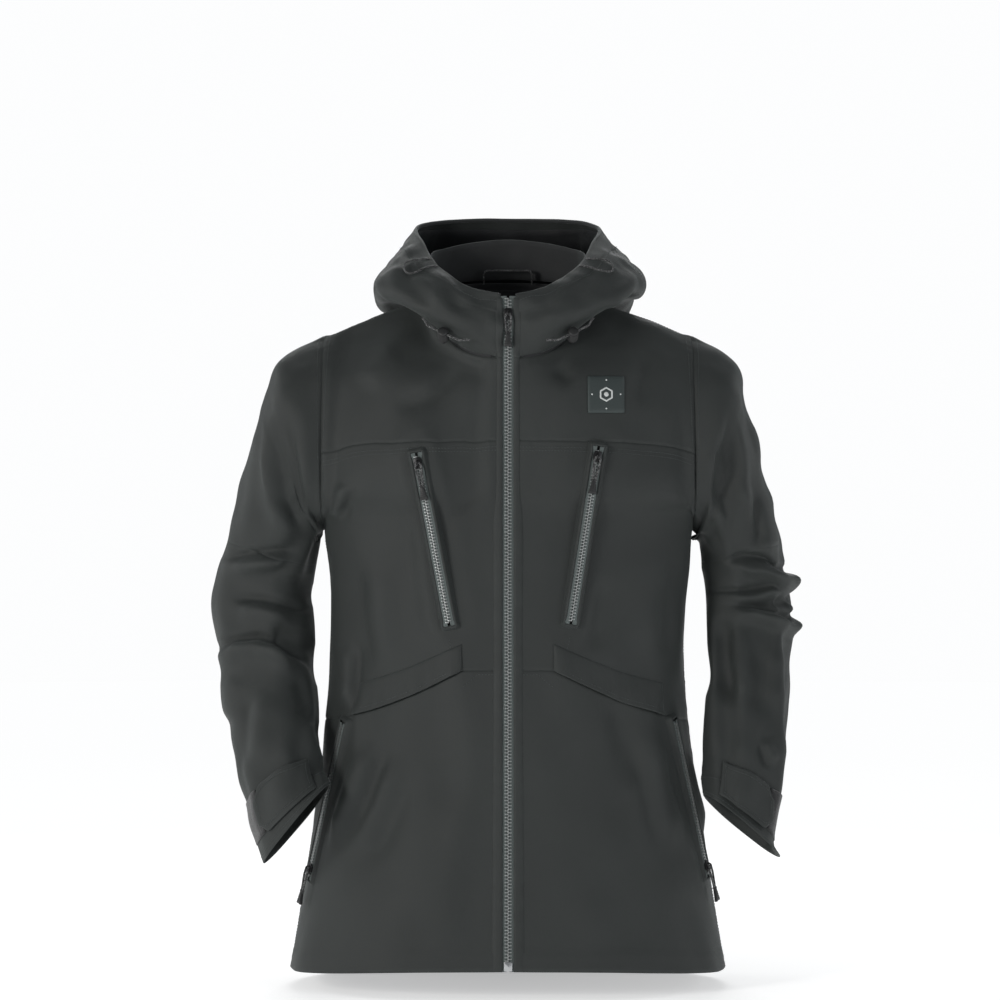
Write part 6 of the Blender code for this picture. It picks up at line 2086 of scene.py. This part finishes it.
def floor():
    """A pale floor that darkens to the backdrop's own tone far from the jacket."""
    sides, radius = 64, 6
    points = [(radius * math.cos(t), TORSO_Y + radius * math.sin(t), -0.002) for t in even_turns(sides)]
    paper = mesh_object("paper_floor", points, [tuple(range(sides))])
    f = Finish("paper")
    away = f.add("VectorMath", {"operation": "LENGTH"}, _0=f.place()).outputs["Value"]
    far = f.ramp(away, 0.25, 1.8)
    glow = f.ramp(away, 0.0, 1.5, 0.42, 1.0)
    f.set(Base_Color=f.mix(far, (0.88, 0.88, 0.875, 1), (0.02, 0.02, 0.02, 1)), Roughness=0.9)
    f.set(Emission_Color=PALE, Emission_Strength=glow, Specular_IOR_Level=0.0)
    paper.data.materials.append(f.material)


def backdrop():
    """A world that lights the jacket softly and looks pale to the camera."""
    world = bpy.data.worlds.new("studio")
    world.use_nodes = True
    nodes, links = world.node_tree.nodes, world.node_tree.links
    light, seen = nodes["Background"], nodes.new("ShaderNodeBackground")
    for background, colour, strength in ((light, (0.93, 0.96, 1.0, 1), 0.24), (seen, PALE, 1.0)):
        background.inputs["Color"].default_value = colour
        background.inputs["Strength"].default_value = strength
    either, path = nodes.new("ShaderNodeMixShader"), nodes.new("ShaderNodeLightPath")
    links.new(path.outputs["Is Camera Ray"], either.inputs[0])
    links.new(light.outputs[0], either.inputs[1])
    links.new(seen.outputs[0], either.inputs[2])
    links.new(either.outputs[0], nodes["World Output"].inputs[0])
    bpy.context.scene.world = world


def studio():
    """The floor and backdrop, soft lights all round and the camera in front of the chest."""
    floor()
    backdrop()
    for name, place, size, power, colour in LAMPS:
        light = bpy.data.lights.new(name, "AREA")
        light.energy, light.size, light.color = power, size, colour
        aimed(name, light, place, (0, TORSO_Y, 0.45))
    camera = bpy.data.cameras.new("camera")
    distance, width = 4.5, 1.10  # width is how much the camera sees across, at the chest
    camera.sensor_width, camera.lens = 36.0, 36.0 * distance / width
    chest_x, chest_y = -0.0088, TORSO_Y - 0.08
    scene = bpy.context.scene
    scene.camera = aimed("camera", camera, (chest_x, chest_y - distance, 0.60), (chest_x, chest_y, 0.5415))
    scene.view_settings.view_transform = "Standard"


def build():
    """Makes every piece of the jacket, and the studio."""
    for side in SIDES:
        front_shell(side)
        sleeve_shell(side)
        storm_flap(side)
        cuff_closure(side)
        sleeve_stitches(side)
        height = surface_height(side)
        pocket_zip(side, "chest", CHEST_ZIP[side], True, height)
        pocket_zip(side, "hand", HAND_ZIP[side], False, height)
    back_shell()
    linings()
    pocket_bags()
    seam_stitches()
    front_zip()
    inner_collar()
    neck_tape()
    hood_shell()
    cord_locks()
    rim_loops()
    chest_badge()
    neck_hanger()
    powder_skirt()
    hem_cord()
    studio()


build()
